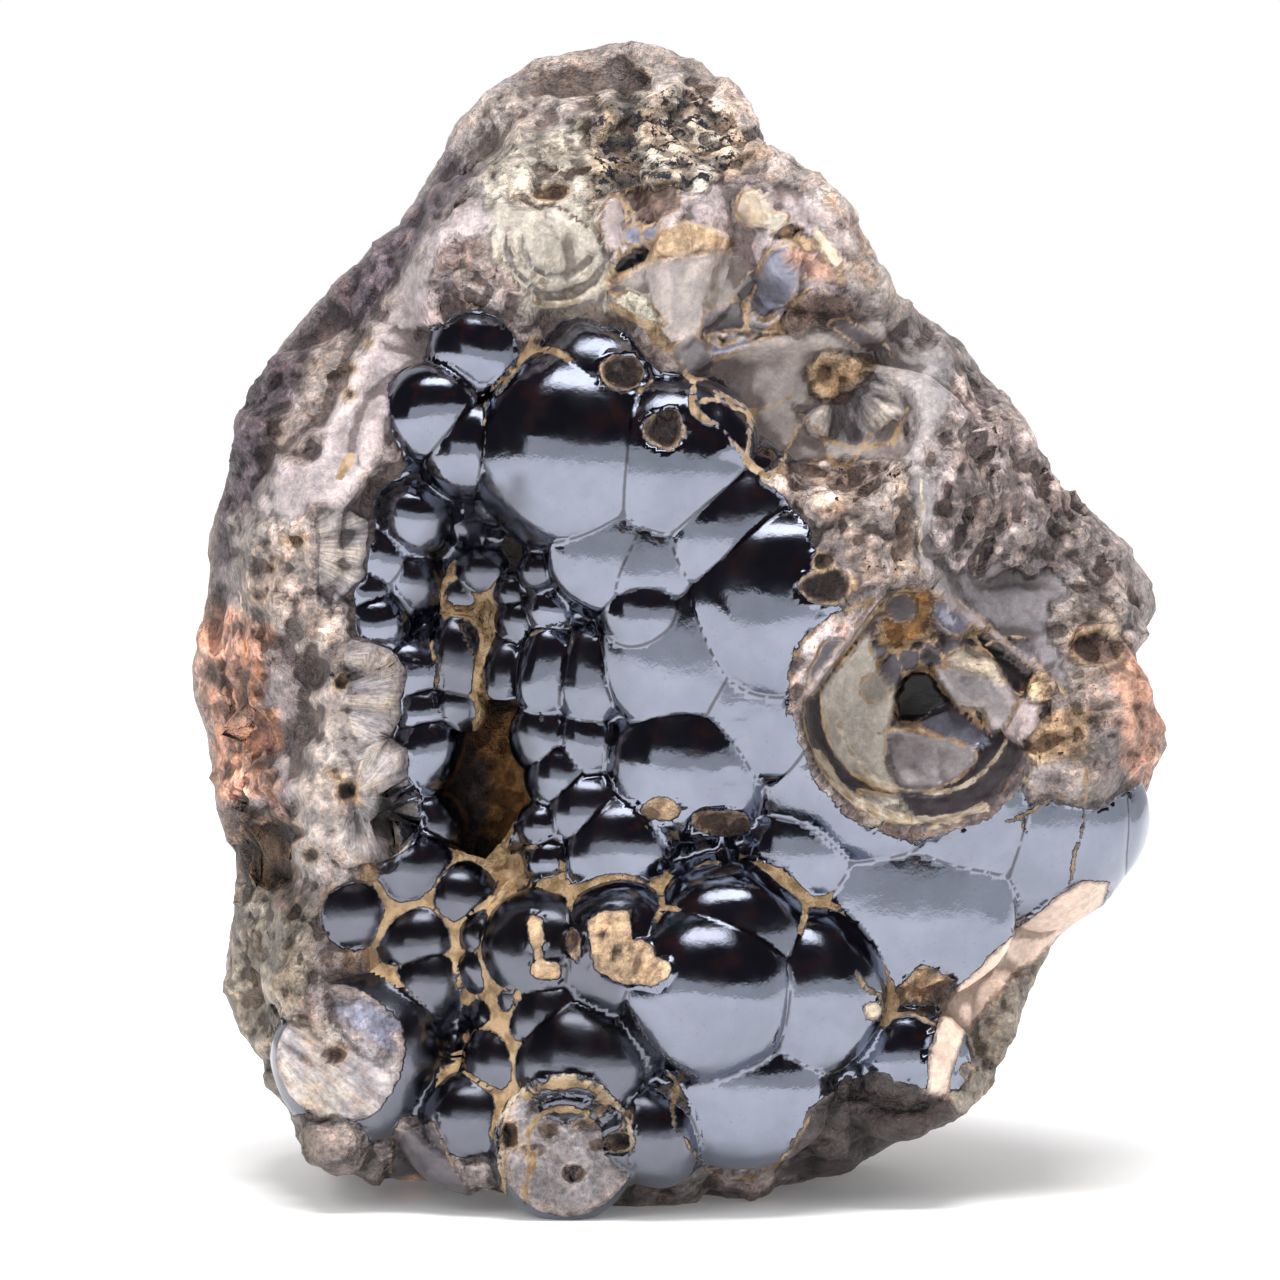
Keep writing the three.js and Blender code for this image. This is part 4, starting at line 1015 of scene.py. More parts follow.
PITS = (
    Pit(-4.4, 65.7, 1.7, 1.1, 0.8, 0.2),
    Pit(-1.2, 61.2, 1.5, 1.5, 0.7, 0.2),
    Pit(10.8, 51.2, 0.8, 0.8, 0.4, 0.2),
    Pit(11.5, 49.3, 2, 1.2, 0.35, 0.25),
    Pit(3.1, 31.15, 2.1, 0.95, 0.6, 0.2, Tone.BROWN),
    Pit(-1.5, 32.2, 1.3, 0.8, 0.2, 0.15, Tone.OCHRE),
    Pit(3.6, 34.8, 1.1, 0.8, 0.05, 0.06, Tone.STEEL),
    Pit(4.5, 38.2, 0.8, 0.9, 0.04, 0.05, Tone.STEEL),
    Pit(-8, 22, 0.6, 1, 0.35, 0.12, Tone.BROWN),
    Pit(-4.8, 21.5, 0.4, 1, 0.6, 0.05),
    Pit(-6, 22.6, 0.5, 0.5, 0.6, 0.05),
    Pit(-20.5, 3.2, 0.8, 0.6, 0.2, 0.1, Tone.RUST),
    Pit(-10.1, 79.4, 1.1, 0.6, 1.2, 0.1, Tone.BROWN),
    Pit(-25.2, 33.5, 0.6, 0.5, 0.8, 0.05),
    Pit(-25.9, 42, 0.5, 0.6, 1, 0.05, Tone.BLACK),
    Pit(-26.3, 13.4, 0.6, 0.6, 0.8, 0.05, Tone.BROWN),
    Pit(-28.4, 28.6, 0.6, 0.5, 0.8, 0.05),
    Pit(-26.2, 35, 0.6, 0.3, 0.8, 0.05),
    Pit(-31, 30, 1.6, 1.2, 1.6, 0.1),
    Pit(-31.5, 27, 1.5, 1.2, 1.6, 0.1),
    Pit(-33.2, 28.6, 1.2, 1.2, 1.4, 0.1),
    Pit(-23.7, 68, 0.5, 0.4, 0.5, 0),
    Pit(-25, 66, 0.4, 0.4, 0.5, 0),
    Pit(-25.3, 64, 0.5, 0.4, 0.5, 0),
    Pit(-29.3, 52.8, 0.6, 0.3, 0.9, 0.1),
    Pit(-31.3, 50.7, 0.5, 0.4, 0.9, 0.1),
    Pit(-32.2, 48.5, 0.7, 0.6, 0.9, 0.1, Tone.BROWN),
    Pit(-9.9, 7.6, 0.7, 0.45, 1.2, 0.1, Tone.BLACK),
    Pit(-7.4, 8.2, 1, 0.35, 0.8, 0.05, Tone.IRON),
    Pit(-10.8, 6.25, 0.9, 0.35, 1.2, 0.05, Tone.BLACK),
    Pit(-6.6, 6.6, 0.6, 0.25, 0.6, 0.05, Tone.IRON),
    Pit(-8, 4.2, 0.5, 0.4, 0.8, 0.05),
    Pit(-4.3, 6.9, 1.1, 0.8, 1.4, 0.1, Tone.BLACK),
    Pit(-13.1, 7.4, 0.55, 1, 1.2, 0.1, Tone.BLACK),
    Pit(-5.6, 9.2, 1.2, 0.5, 1, 0.1),
    Pit(-4, 8.6, 0.5, 1.1, 1, 0.1),
    Pit(32.2, 44.5, 1.6, 1.3, 1.4, 0.2, Tone.BROWN),
    Pit(22, 12, 0.6, 0.8, 0.8, 0, Tone.IRON),
)
FANS = (
    Fan(-30.5, 52.4, 110, 0.2, Tone.ASH, ((-27.8, 54.8), (-25.4, 55.2), (-23.2, 54.2), (-23, 52), (-24, 50),
        (-25.4, 47.8), (-27.4, 47.8), (-27.6, 50))),
    Fan(-28, 43.8, 90, 0.18, Tone.ASH, ((-26.8, 44.8), (-24.4, 45.6), (-22.6, 45.2), (-21.4, 43.4),
        (-25.6, 42.6))),
    Fan(-29.4, 40.6, 130, 0.2, Tone.ASH, ((-25.3, 42.3), (-21.4, 43), (-21, 40.6), (-21.8, 38.2),
        (-23, 36.9), (-25, 37.4), (-25.4, 40))),
    Fan(-25, 33.2, 62, 0.24, Tone.ASH, ((-24.8, 37), (-20.6, 37), (-20.4, 34.6), (-19.6, 33), (-19.6, 31),
        (-20.6, 29), (-22.6, 27.8), (-24.6, 27.8), (-25.4, 30), (-24.6, 33))),
    Fan(-37, 19.4, 70, 0.25, Tone.STEEL, ((-31, 14), (-29.6, 16.2), (-27, 15.8), (-24.6, 14.2), (-22, 12),
        (-21.8, 10), (-23, 8.4), (-26, 8), (-30, 10))),
    Fan(12.4, 65.2, 34, 0.7, Tone.ASH, ((9, 63), (10, 61), (12, 60.2), (15, 60.6), (17, 62.6), (17, 66),
        (14.6, 65.4), (12.6, 63.4))),
    Fan(32.2, 44.4, 22, 0.2, Tone.BROWN, ((30, 43.6), (31, 46.4), (34, 46.8), (35, 44), (33, 42.4))),
)
FACETS = (
    Facets("dark_cells", ((2.6, 66), (2.4, 59), (8, 57.6), (16, 58.4), (17, 61), (9, 62), (8.6, 67.6),
        (4, 66.8)), ((5.4, 65.2), (3.6, 61.4), (7.4, 60.6), (9.6, 59.6), (12.6, 61), (15.6, 59)), 0.14, 0.3,
        0.22, Tone.OCHRE),
    Facets("bowl_web", ((14, 42.4), (15, 46.4), (18, 46.8), (21, 45.4), (20.6, 43.4), (18.6, 42.4)),
        ((14.2, 43.6), (15.4, 44.6), (16.4, 43.2), (17.6, 43.6), (16.6, 45.2), (18.2, 45.2), (19.4, 44),
        (20.4, 44.8)), 0.3, 0.3, 0.2, Tone.OCHRE),
    Facets("rubble", ((20.5, 50), (20, 60), (22, 65), (28, 61), (33, 55), (30, 50)), ((21.4, 52),
        (23, 54.6), (21.8, 57.6), (24.6, 51.6), (26, 56), (24, 59.4), (28, 53), (30, 56), (21, 62.4),
        (26.4, 60.2)), 0.5, 0.9, 0.1, Tone.CREAM),
)
# lobes dulled in each area and darkened there as painted shade of the recessed cluster, trench and ribs
DULLING_AND_SHADE = (
    (0.9, ((-28, 27), (-22, 29.5), (-17, 28), (-9, 26.5), (-3, 24.8), (-1, 21), (-4, 18), (-1, 14),
        (-2, 11.5), (1, 9), (0, 2), (-22, 2), (-33, 8))),
    (0.9, ((-20, 52), (-18, 56.4), (-12.5, 57), (-10.5, 52), (-8, 48.6), (-11.8, 46.6), (-13.4, 44),
        (-12.8, 41), (-11.4, 38), (-10.6, 34), (-11, 28), (-19, 27.5), (-18, 34), (-16.8, 38), (-18.5, 41),
        (-19.5, 45), (-21, 48))),
    (0.3, ((-12.6, 47), (-5, 46), (-3, 41), (-5, 31), (-4, 27), (-13, 28))),
)


@dataclass
class FaceWork:
    """Crusts, veins, pits, fans and facets drawn on the face of the stone.

    Attributes:
        plate: Outline of the flat broken plate beside the trench, at plate_depth.
        webs: How much filling lies between the lobes of each area.
        dulling_and_shade_areas: How dull the lobes of each area are, and how much painted shade darkens
            them.
        crumb_sizes: Widths of the crumbs of the crust; crumb_shares are their heights.
        chip_sizes: Widths of the angular chips; chip_heights are their heights.
        edge_wander: How much drawn edges wander.
        seam_reach: How far from a drawn seam the creases between lobes are filled.
        empty_sheets: Name and first value of each drawn sheet.
    """

    sheet: FaceSheet = FaceSheet()
    ledges: tuple[Ledge, ...] = LEDGES
    patches: tuple[Patch, ...] = PATCHES
    veins: tuple[Vein, ...] = VEINS
    plate: tuple[Point, ...] = PLATE
    plate_depth: float = 8.9
    webs: tuple[tuple[float, tuple[Point, ...]], ...] = WEBS
    pits: tuple[Pit, ...] = PITS
    fans: tuple[Fan, ...] = FANS
    facets: tuple[Facets, ...] = FACETS
    dulling_and_shade_areas: tuple[tuple[float, tuple[Point, ...]], ...] = DULLING_AND_SHADE
    crumb_sizes: tuple[float, ...] = (2.3, 1.15)
    crumb_shares: tuple[float, ...] = (0.6, -0.6)
    chip_sizes: tuple[float, ...] = (3.1, 1.3)
    chip_heights: tuple[float, ...] = (1.1, 0.6)
    edge_wander: float = 0.9
    seam_reach: float = 1.3
    empty_sheets: tuple[tuple[str, float], ...] = (
        ("relief", 0.0), ("crumb", 0.4), ("gloss", 0.1), ("glint", 0.25), ("cover", FAR),
        ("vein", FAR), ("seam_zone", 0.0), ("dulling_and_shade", 0.0), ("warm", 0.3), ("web", 0.0),
        ("chip", 0.0))

    def __post_init__(self) -> None:
        """Draws every sheet that the stone reads."""
        self.x, self.h = self.sheet.grid()
        flat = np.column_stack((self.x.ravel(), self.h.ravel(), np.zeros(self.x.size)))
        wander = lumps(flat, 1.7, (4.2, 1.1, 0.5)) + 0.5 * lumps(flat, 0.8, (1.2, 6.1, 2.5))
        self.wander = wander.reshape(self.x.shape) * self.edge_wander
        shape = self.x.shape
        for name, value in self.empty_sheets:
            setattr(self, name, np.full(shape, value))
        self.tint = np.ones((*shape, 3)) * Tone.ROCK.linear()
        self.vein_tint = np.ones((*shape, 3)) * Tone.OCHRE.linear()
        self.fibre = np.zeros((*shape, 3))
        self.plate_gap = area_gap(self.x, self.h, self.plate) + 0.12 * self.wander
        for ledge in self.ledges:
            gap = area_gap(self.x, self.h, ledge.corners) + self.wander
            self.relief -= ledge.drop * ease(0.5 - gap / ledge.soft)
        self.planes, self.chances, self.borders = zip(
            *(self._chips(size, 7.0 * size) for size in self.chip_sizes))
        self._draw_patches()
        self._draw_chips()
        self._draw_facets()
        self._draw_fans()
        self._draw_veins()
        self._draw_pits()

    def _blend(self, name: str, value: float | Tone | Array, share: Array) -> None:
        """Blends a value into one of the sheets by a share between 0 and 1."""
        sheet = getattr(self, name)
        value = value.linear() if isinstance(value, Tone) else value
        weight = share[..., None] if sheet.ndim == 3 else share
        setattr(self, name, mix(sheet, value, weight))

    def _chips(self, size: float, seed: float) -> tuple[Array, Array, Array]:
        """Breaks the face into angular chips.

        Args:
            size: Width of a chip.
            seed: Number that picks the pattern.

        Returns:
            Height of each chip's slanted plane, three random numbers for each chip and the
            distance to its edge.
        """
        x, h = self.x + 0.5 * self.wander, self.h - 0.4 * self.wander
        best = np.full(x.shape, np.inf)
        second = best.copy()
        plane = np.zeros(x.shape)
        chance = np.zeros((*x.shape, 3))
        for di, dj in product((-1, 0, 1), repeat=2):
            i, j = np.floor(x / size) + di, np.floor(h / size) + dj
            draw = [corner_value(i, j, seed + 3.0 * k) for k in range(8)]
            dx, dh = x - (i + draw[0]) * size, h - (j + draw[1]) * size
            span = np.hypot(dx, dh)
            nearer = span < best
            slant = ((draw[2] - 0.5) * dx + (draw[3] - 0.5) * dh) * 2.4 / size
            second = np.where(nearer, best, np.minimum(second, span))
            plane = np.where(nearer, slant + draw[4] - 0.5, plane)
            chance[nearer] = np.stack(draw[5:8], axis=-1)[nearer]
            best = np.where(nearer, span, best)
        return plane, chance, 0.5 * (second - best)

    def _draw_chips(self) -> None:
        """Gives the crusts their chips: height, tone, painted shade at the edges, the odd dark, pale or
        ochre bit.
        """
        strength = np.clip(0.06 + 0.95 * self.crumb, 0.0, 0.85)
        for plane, height in zip(self.planes, self.chip_heights):
            self.chip += self.crumb * height * plane
        for chance, border, part in zip(self.chances, self.borders, (0.55, 0.8)):
            shade = 1.0 + strength * part * (1.3 * chance[..., 0] - 0.65)
            # painted shade: each chip darkens towards its edge, in the cracks between chips
            shade *= 1.0 - 0.5 * strength * ease(1.0 - border / 0.22)
            self.tint = self.tint * shade[..., None]
            dark = strength * part * ease((chance[..., 1] - 0.74) / 0.08)
            pale = strength * part * ease((0.2 - chance[..., 1]) / 0.08)
            warm = strength * part * ease((chance[..., 2] - 0.62) / 0.08) * self.warm
            self._blend("tint", Tone.DARK_CRUST, 0.75 * dark)
            self._blend("glint", 0.8, 0.6 * dark)
            self.tint *= (1.0 + 0.6 * pale)[..., None]
            self.tint *= mix(np.ones(3), np.asarray((1.18, 0.96, 0.84)), warm[..., None])

    def _draw_patches(self) -> None:
        """Draws the areas, later ones over earlier ones."""
        # dulling and painted shade on the lobes of each listed recessed area
        for share, corners in self.dulling_and_shade_areas:
            cover = share * ease(0.5 - (area_gap(self.x, self.h, corners) + self.wander) / 2.5)
            self.dulling_and_shade = np.maximum(self.dulling_and_shade, cover)
        ragged = self.wander.copy()
        for chance, part in zip(self.chances, (1.1, 0.5)):
            ragged += part * (chance[..., 0] - 0.5)
        for patch in self.patches:
            wander = ragged * min(1.0, patch.soft) * patch.ragged
            gap = area_gap(self.x, self.h, patch.corners) - patch.grow + wander
            share = ease(0.5 - gap / patch.soft)
            self._blend("tint", patch.tone, share)
            for name in ("crumb", "gloss", "glint", "warm"):
                self._blend(name, getattr(patch, name), share)
            x, h = np.mean(patch.corners, axis=0)
            rise = patch.slope[0] * (self.x - x) + patch.slope[1] * (self.h - h)
            self.relief += share * (patch.lift + rise)
            if patch.over:
                self.cover = np.minimum(self.cover, gap)
                self.vein = np.where(gap < 0, FAR, self.vein)
            if patch.edge:
                line = np.abs(gap) - 0.5 * patch.edge * np.clip(1.0 + self.wander, 0.3, 1.8)
                self._draw_line(line, patch.edge_tone)

    def _draw_line(self, gap: Array, tone: Tone) -> None:
        """Adds a line, given its signed distance, to those already drawn."""
        nearer = gap < self.vein
        self.vein = np.where(nearer, gap, self.vein)
        self.vein_tint[nearer & (gap < 1.0)] = tone.linear()

    def _draw_facets(self) -> None:
        """Draws the fields of smooth broken faces."""
        for number, field_ in enumerate(self.facets):
            chance = np.random.default_rng(17 + number)
            gap = area_gap(self.x, self.h, field_.corners)
            share = ease(-gap / 1.2)
            middles = np.asarray(field_.middles)
            spans = np.hypot(self.x[..., None] - middles[:, 0], self.h[..., None] - middles[:, 1])
            spans += 0.5 * self.wander[..., None]
            order = np.sort(spans, axis=-1)
            own = np.argmin(spans, axis=-1)
            slope = chance.uniform(-field_.tilt, field_.tilt, (len(middles), 2))
            rise = chance.uniform(-field_.step, field_.step, len(middles))
            plane = rise[own] + slope[own, 0] * (self.x - middles[own, 0])
            plane += slope[own, 1] * (self.h - middles[own, 1])
            self.relief += share * plane
            crack = 0.5 * (order[..., 1] - order[..., 0]) - 0.5 * field_.crack
            crack = np.where(gap < 0, crack, FAR)
            self._draw_line(crack, field_.tone)

    def _draw_fans(self) -> None:
        """Draws the fibres and the grooves between them, with painted light and shade that follow their
        relief.
        """
        for number, fan in enumerate(self.fans):
            dx, dh = self.x - fan.x, self.h - fan.h
            reach = np.hypot(dx, dh)
            edge = area_gap(self.x, self.h, fan.corners)
            share = ease(0.5 - (edge + 0.5 * self.wander) / 0.5)
            turn = np.arctan2(dh, dx) * fan.ribs / (2.0 * math.pi)
            flat = (turn.ravel(), 0.22 * reach.ravel(), np.full(turn.size, float(number)))
            places = np.column_stack(flat)
            groove = lumps(places, 1.0, (0.3, 0.7, 0.9)).reshape(turn.shape)
            wedge = lumps(places * (0.3, 1.4, 1.0), 1.0, (4.3, 2.7, 5.9)).reshape(turn.shape)
            opening = ease(reach / 2.4)
            self.relief += share * opening * fan.depth * (groove + 1.2 * wedge)
            # painted light and shade: fibres lighter on raised wedges, darker in grooves, darkest in the
            # deepest ones
            shade = 0.95 + 0.25 * wedge + 0.35 * groove
            self._blend("tint", fan.tone.linear() * shade[..., None], share)
            self._blend("tint", Tone.DARK_CRUST, 0.45 * share * ease((-0.4 - groove) / 0.2))
            # cream where the wedges stand highest
            self._blend("tint", Tone.CREAM, 0.3 * share * ease((wedge - 0.3) / 0.2))
            for name, value in (("crumb", 0.12), ("gloss", 0.3), ("glint", 0.0)):
                self._blend(name, value, share)
            drawn = share > 0.02
            self.fibre[drawn, :2] = np.stack((turn, reach), axis=-1)[drawn]
            self.fibre[..., 2] = np.maximum(self.fibre[..., 2], share)

    def _draw_veins(self) -> None:
        """Draws the fillings, ridges and grooves."""
        for vein in self.veins:
            gap = line_gap(self.x + 0.3 * self.wander, self.h + 0.3 * self.wander, vein.points)
            if vein.seam:
                strength = min(1.0, vein.width / 0.4)
                near = strength * ease(2.0 - gap / self.seam_reach)
                self.seam_zone = np.maximum(self.seam_zone, near)
                self.web = np.maximum(self.web, 1.6 * strength * ease(1.5 - gap / 0.9))
                continue
            self.relief += vein.rise * np.exp(-((gap / (0.6 * vein.width)) ** 2))
            edge = gap - 0.5 * vein.width * np.clip(1.0 + 0.8 * self.wander, 0.4, 1.7)
            self._draw_line(edge, vein.tone)
        for strength, corners in self.webs:
            share = strength * ease(0.5 - area_gap(self.x, self.h, corners) / 1.0)
            self.web = np.maximum(self.web, share)

    def _draw_pits(self) -> None:
        """Draws the round hollows and their rims."""
        for pit in self.pits:
            scale = math.sqrt(pit.wide * pit.high)
            reach = np.hypot((self.x - pit.x) / pit.wide, (self.h - pit.h) / pit.high)
            gap = (reach - 1.0) * scale + 0.6 * self.wander
            self.relief -= pit.depth * ease(0.4 - gap / (0.6 * scale))
            self.relief += pit.rim * np.exp(-((gap / 0.3) ** 2))
            if pit.depth < 0.1:
                continue
            self._blend("tint", Tone.OCHRE, ease(0.5 - (gap - 0.15) / 0.25))
            self._blend("tint", pit.tone, ease(0.5 - (gap + 0.05) / 0.25))
            self._blend("crumb", 0.3, ease(0.5 - gap / 0.4))
            self.cover = np.minimum(self.cover, gap - 0.05)

    def at(self, name: str, p: Array) -> Array:
        """Values of one sheet at places in the face frame."""
        return self.sheet.read(getattr(self, name), p[:, 0], p[:, 1])


# ---- the stone
class Net:
    """Edges of a mesh, for means over the neighbours of each vertex."""

    def __init__(self, mesh: bpy.types.Mesh) -> None:
        """Reads the edges."""
        self.count = len(mesh.vertices)
        edges = np.empty(2 * len(mesh.edges), dtype=np.int64)
        mesh.edges.foreach_get("vertices", edges)
        self.a, self.b = edges.reshape(-1, 2).T
        self.degree = np.bincount(edges, minlength=self.count)

    def mean(self, at_a: Array, at_b: Array) -> Array:
        """Mean over the edges of each vertex, of values for their first and second end."""
        total = np.bincount(self.a, at_a, self.count) + np.bincount(self.b, at_b, self.count)
        return total / self.degree

    def middle(self, p: Array) -> Array:
        """Middle of the neighbours of each vertex."""
        return np.column_stack([self.mean(row[self.b], row[self.a]) for row in p.T])

    def span(self, p: Array) -> Array:
        """Mean length of the edges at each vertex."""
        span = np.linalg.norm(p[self.a] - p[self.b], axis=1)
        return self.mean(span, span)


@dataclass
class Stone:
    """The whole piece: lobes, matrix, bowl and the work on its face.

    Attributes:
        node: Name of the solid that the piece stands for.
        grain: Mesh spacing of the start form.
        front_depth: The face is worked finely down to this depth.
        face_fade: Depth over which the work fades behind that.
        ease_rounds: Rounds of evening out before and after the face is refined.
        snap_share: Part of a mesh edge over which vertices move onto a crease.
        filling_reach: Width over which the filling evens out the lobes' depth.
        filling_depth: How far it lies behind that.
        filling_deepest: Depth of the filling where no lobe lies.
        filling_limit: Farthest it reaches from a lobe.
        shading_step: Step over which the direction of the surface is taken.
        behind: Finish of the stone behind the worked face.
    """

    node: str = "hematite"
    frame: FaceFrame = FaceFrame()
    lobes: KidneyLobes = field(default_factory=KidneyLobes)
    matrix: RoughMatrix = field(default_factory=RoughMatrix)
    bowl: HollowLobe = field(default_factory=HollowLobe)
    work: FaceWork = field(default_factory=FaceWork)
    grain: float = 0.82
    front_depth: float = 23.0
    face_fade: float = 6.0
    ease_rounds: tuple[int, int] = (6, 6)
    snap_share: float = 0.42
    filling_reach: float = 0.75
    filling_depth: float = 0.2
    filling_deepest: float = 12.8
    filling_limit: float = 0.9
    shading_step: float = 0.2
    behind: tuple[tuple[str, float], ...] = (
        ("gloss", 0.1), ("glint", 0.22), ("crumb", 0.5), ("dulling_and_shade", 0.0), ("warm", 0.4))

    def __post_init__(self) -> None:
        """Draws the outline and the depth of the filling between small lobes once."""
        sheet = self.work.sheet
        self.inside = self.matrix.draw_outline(sheet)
        depth = self.lobes.front_depth(*sheet.grid(), self.filling_deepest)
        self.filling = soften(depth, self.filling_reach / sheet.step) + self.filling_depth

    # ---- shape
    def rough_gap(self, p: Array, q: Array) -> Array:
        """Distance to the matrix with the flat plate at the edge of the trench.

        Args:
            p: Places in the face frame.
            q: The same places, moved by the relief.

        Returns:
            Signed distances.
        """
        inside = self.work.sheet.read(self.inside, p[:, 0], p[:, 1])
        front = rounded_max(self.work.at("plate_gap", p), self.work.plate_depth - q[:, 2], 0.5)
        plate = np.maximum(front, p[:, 2] - self.work.plate_depth - 5.0)
        return np.minimum(self.matrix.gap(q, inside), plate)

    def face_share(self, p: Array) -> Array:
        """How much a place belongs to the worked face: 1 in front, 0 behind."""
        return ease((self.front_depth + self.face_fade - p[:, 2]) / self.face_fade)

    def filling_gap(self, p: Array, q: Array, body: Array) -> Array:
        """Distance to the filling between small lobes.

        Args:
            p: Places in the face frame.
            q: The same places, moved by the relief.
            body: Distance of each place to the lobes.

        Returns:
            Signed distances.
        """
        level = self.work.sheet.read(self.filling, p[:, 0], p[:, 1])
        edge = body - self.filling_limit * self.work.at("web", p)
        return np.maximum(0.85 * (level - q[:, 2]), edge)

    def gap(self, p: Array) -> Array:
        """Signed distance to the finished surface; negative inside."""
        share = self.face_share(p)
        q = p.copy()
        q[:, 2] += self.work.at("relief", p) * share
        rough = self.rough_gap(p, q)
        smooth = self.lobes.gaps(q).min(axis=1)
        filled = self.filling_gap(p, q, smooth)
        gap = np.maximum(np.minimum(np.minimum(rough, smooth), filled), -self.bowl.gap(q))
        smooth = np.minimum(smooth, filled)
        crumb = mix(0.35, self.work.at("crumb", p), share)
        polished = (smooth < rough) & (self.work.at("cover", p) > 0.2)
        polished |= (self.bowl.gap(q) < 0.3) & (self.work.at("cover", p) > 0.2)
        crumb = np.where(polished & (share > 0), 0.0, crumb)
        gap = gap - np.where(polished, 0.0, share * self.work.at("chip", p))
        for size, part in zip(self.work.crumb_sizes, self.work.crumb_shares):
            bump = np.abs(lumps(p, size, (5.3, 2.2, 8.8))) * 1.6 - 0.35
            gap = gap - crumb * part * bump
        height = p[:, 1] * self.frame.axes()[0] - p[:, 2] * self.frame.axes()[1]
        return np.maximum(gap, -height)

    def slope(self, p: Array, step: float = 0.12) -> tuple[Array, Array]:
        """Signed distance and its direction of growth at places.

        Args:
            p: Places in the face frame.
            step: Distance between the samples.

        Returns:
            The distance and the slope.
        """
        total = np.zeros(len(p))
        slope = np.zeros_like(p)
        for signs in ((1, -1, -1), (-1, -1, 1), (-1, 1, -1), (1, 1, 1)):
            value = self.gap(p + step * np.asarray(signs))
            total += value
            slope += value[:, None] * np.asarray(signs)
        return total / 4.0, slope / (4.0 * step)

    # ---- mesh
    def build(self, node: bpy.types.Object) -> bpy.types.Object:
        """Makes the finished mesh.

        Args:
            node: The plain solid of the stone.

        Returns:
            The new piece.
        """
        piece = self.start_form(node)
        self.settle(piece, self.ease_rounds[0], False)
        self.refine_face(piece)
        self.settle(piece, self.ease_rounds[1], True)
        self.finish_mesh(piece)
        return piece

    def start_form(self, node: bpy.types.Object) -> bpy.types.Object:
        """Gives a merged copy of the plain solid one even skin.

        Args:
            node: The plain solid of the stone.

        Returns:
            The start form.
        """
        bpy.ops.object.select_all(action="DESELECT")
        core = bpy.data.objects.new("kidney_ore", node.data.copy())
        core.data.materials.clear()
        bpy.context.scene.collection.objects.link(core)
        core.select_set(True)
        bpy.context.view_layer.objects.active = core
        bpy.ops.object.mode_set(mode="EDIT")
        bpy.ops.mesh.select_all(action="SELECT")
        bpy.ops.mesh.remove_doubles(threshold=1e-6)
        bpy.ops.object.mode_set(mode="OBJECT")
        even = core.modifiers.new("even_skin", "REMESH")
        even.mode = "VOXEL"
        even.voxel_size = self.grain * MM
        bpy.ops.object.modifier_apply(modifier=even.name)
        return core

    def refine_face(self, piece: bpy.types.Object) -> None:
        """Divides the faces of the worked face once.

        Args:
            piece: The start form.
        """
        mesh = piece.data
        p = self.frame.face(self.read(mesh.polygons, "center"))
        c, s = self.frame.axes()
        inward = self.read(mesh.polygons, "normal") @ np.asarray((0.0, c, -s))
        front = (p[:, 2] < self.front_depth) & (inward < 0.35)
        mesh.polygons.foreach_set("select", front)
        bpy.ops.object.mode_set(mode="EDIT")
        bpy.ops.mesh.select_mode(type="FACE")
        bpy.ops.object.mode_set(mode="OBJECT")
        mesh.polygons.foreach_set("select", front)
        bpy.ops.object.mode_set(mode="EDIT")
        bpy.ops.mesh.subdivide(number_cuts=1)
        bpy.ops.object.mode_set(mode="OBJECT")

    def settle(self, piece: bpy.types.Object, rounds: int, fine: bool) -> None:
        """Evens the mesh out and lays it on the surface.

        Args:
            piece: The piece.
            rounds: Rounds of evening out.
            fine: Whether creases are sharpened at the end.
        """
        mesh = piece.data
        net = Net(mesh)
        p = self.frame.face(self.read(mesh.vertices, "co"))
        for _ in range(rounds):
            move = net.middle(p) - p
            gap, slope = self.slope(p)
            size = np.maximum(np.linalg.norm(slope, axis=1), 0.3)
            facing = slope / size[:, None]
            move -= (move * facing).sum(1)[:, None] * facing
            p = p + 0.5 * move - (np.clip(gap / size, -0.8, 0.8))[:, None] * facing
        for _ in range(2):
            gap, slope = self.slope(p, 0.06)
            size = np.maximum(np.linalg.norm(slope, axis=1), 0.4)
            p = p - (np.clip(gap / size, -0.4, 0.4) / size)[:, None] * slope
        if fine:
            reach = self.snap_share * net.span(p)
            for _ in range(2):
                p = self.sharpen(p, reach)
        mesh.vertices.foreach_set("co", self.frame.standing(p).ravel())
        mesh.update()

    def nearest_two(self, p: Array) -> tuple[Array, Array, Array]:
        """The two nearest lobes of each place.

        Args:
            p: Places in the face frame.

        Returns:
            Their numbers, their distances and the directions away from their middles.
        """
        gaps = self.lobes.gaps(p)
        order = np.argsort(gaps, axis=1)[:, :2]
        away = self.lobes.bent(p)[:, None, :] - self.lobes.middles[order]
        away[:, :, 1] /= self.lobes.tall[order] ** 2
        away[:, :, 2] *= self.lobes.flat[order] ** 2
        away /= np.linalg.norm(away, axis=2)[:, :, None]
        return order, np.take_along_axis(gaps, order, axis=1), away

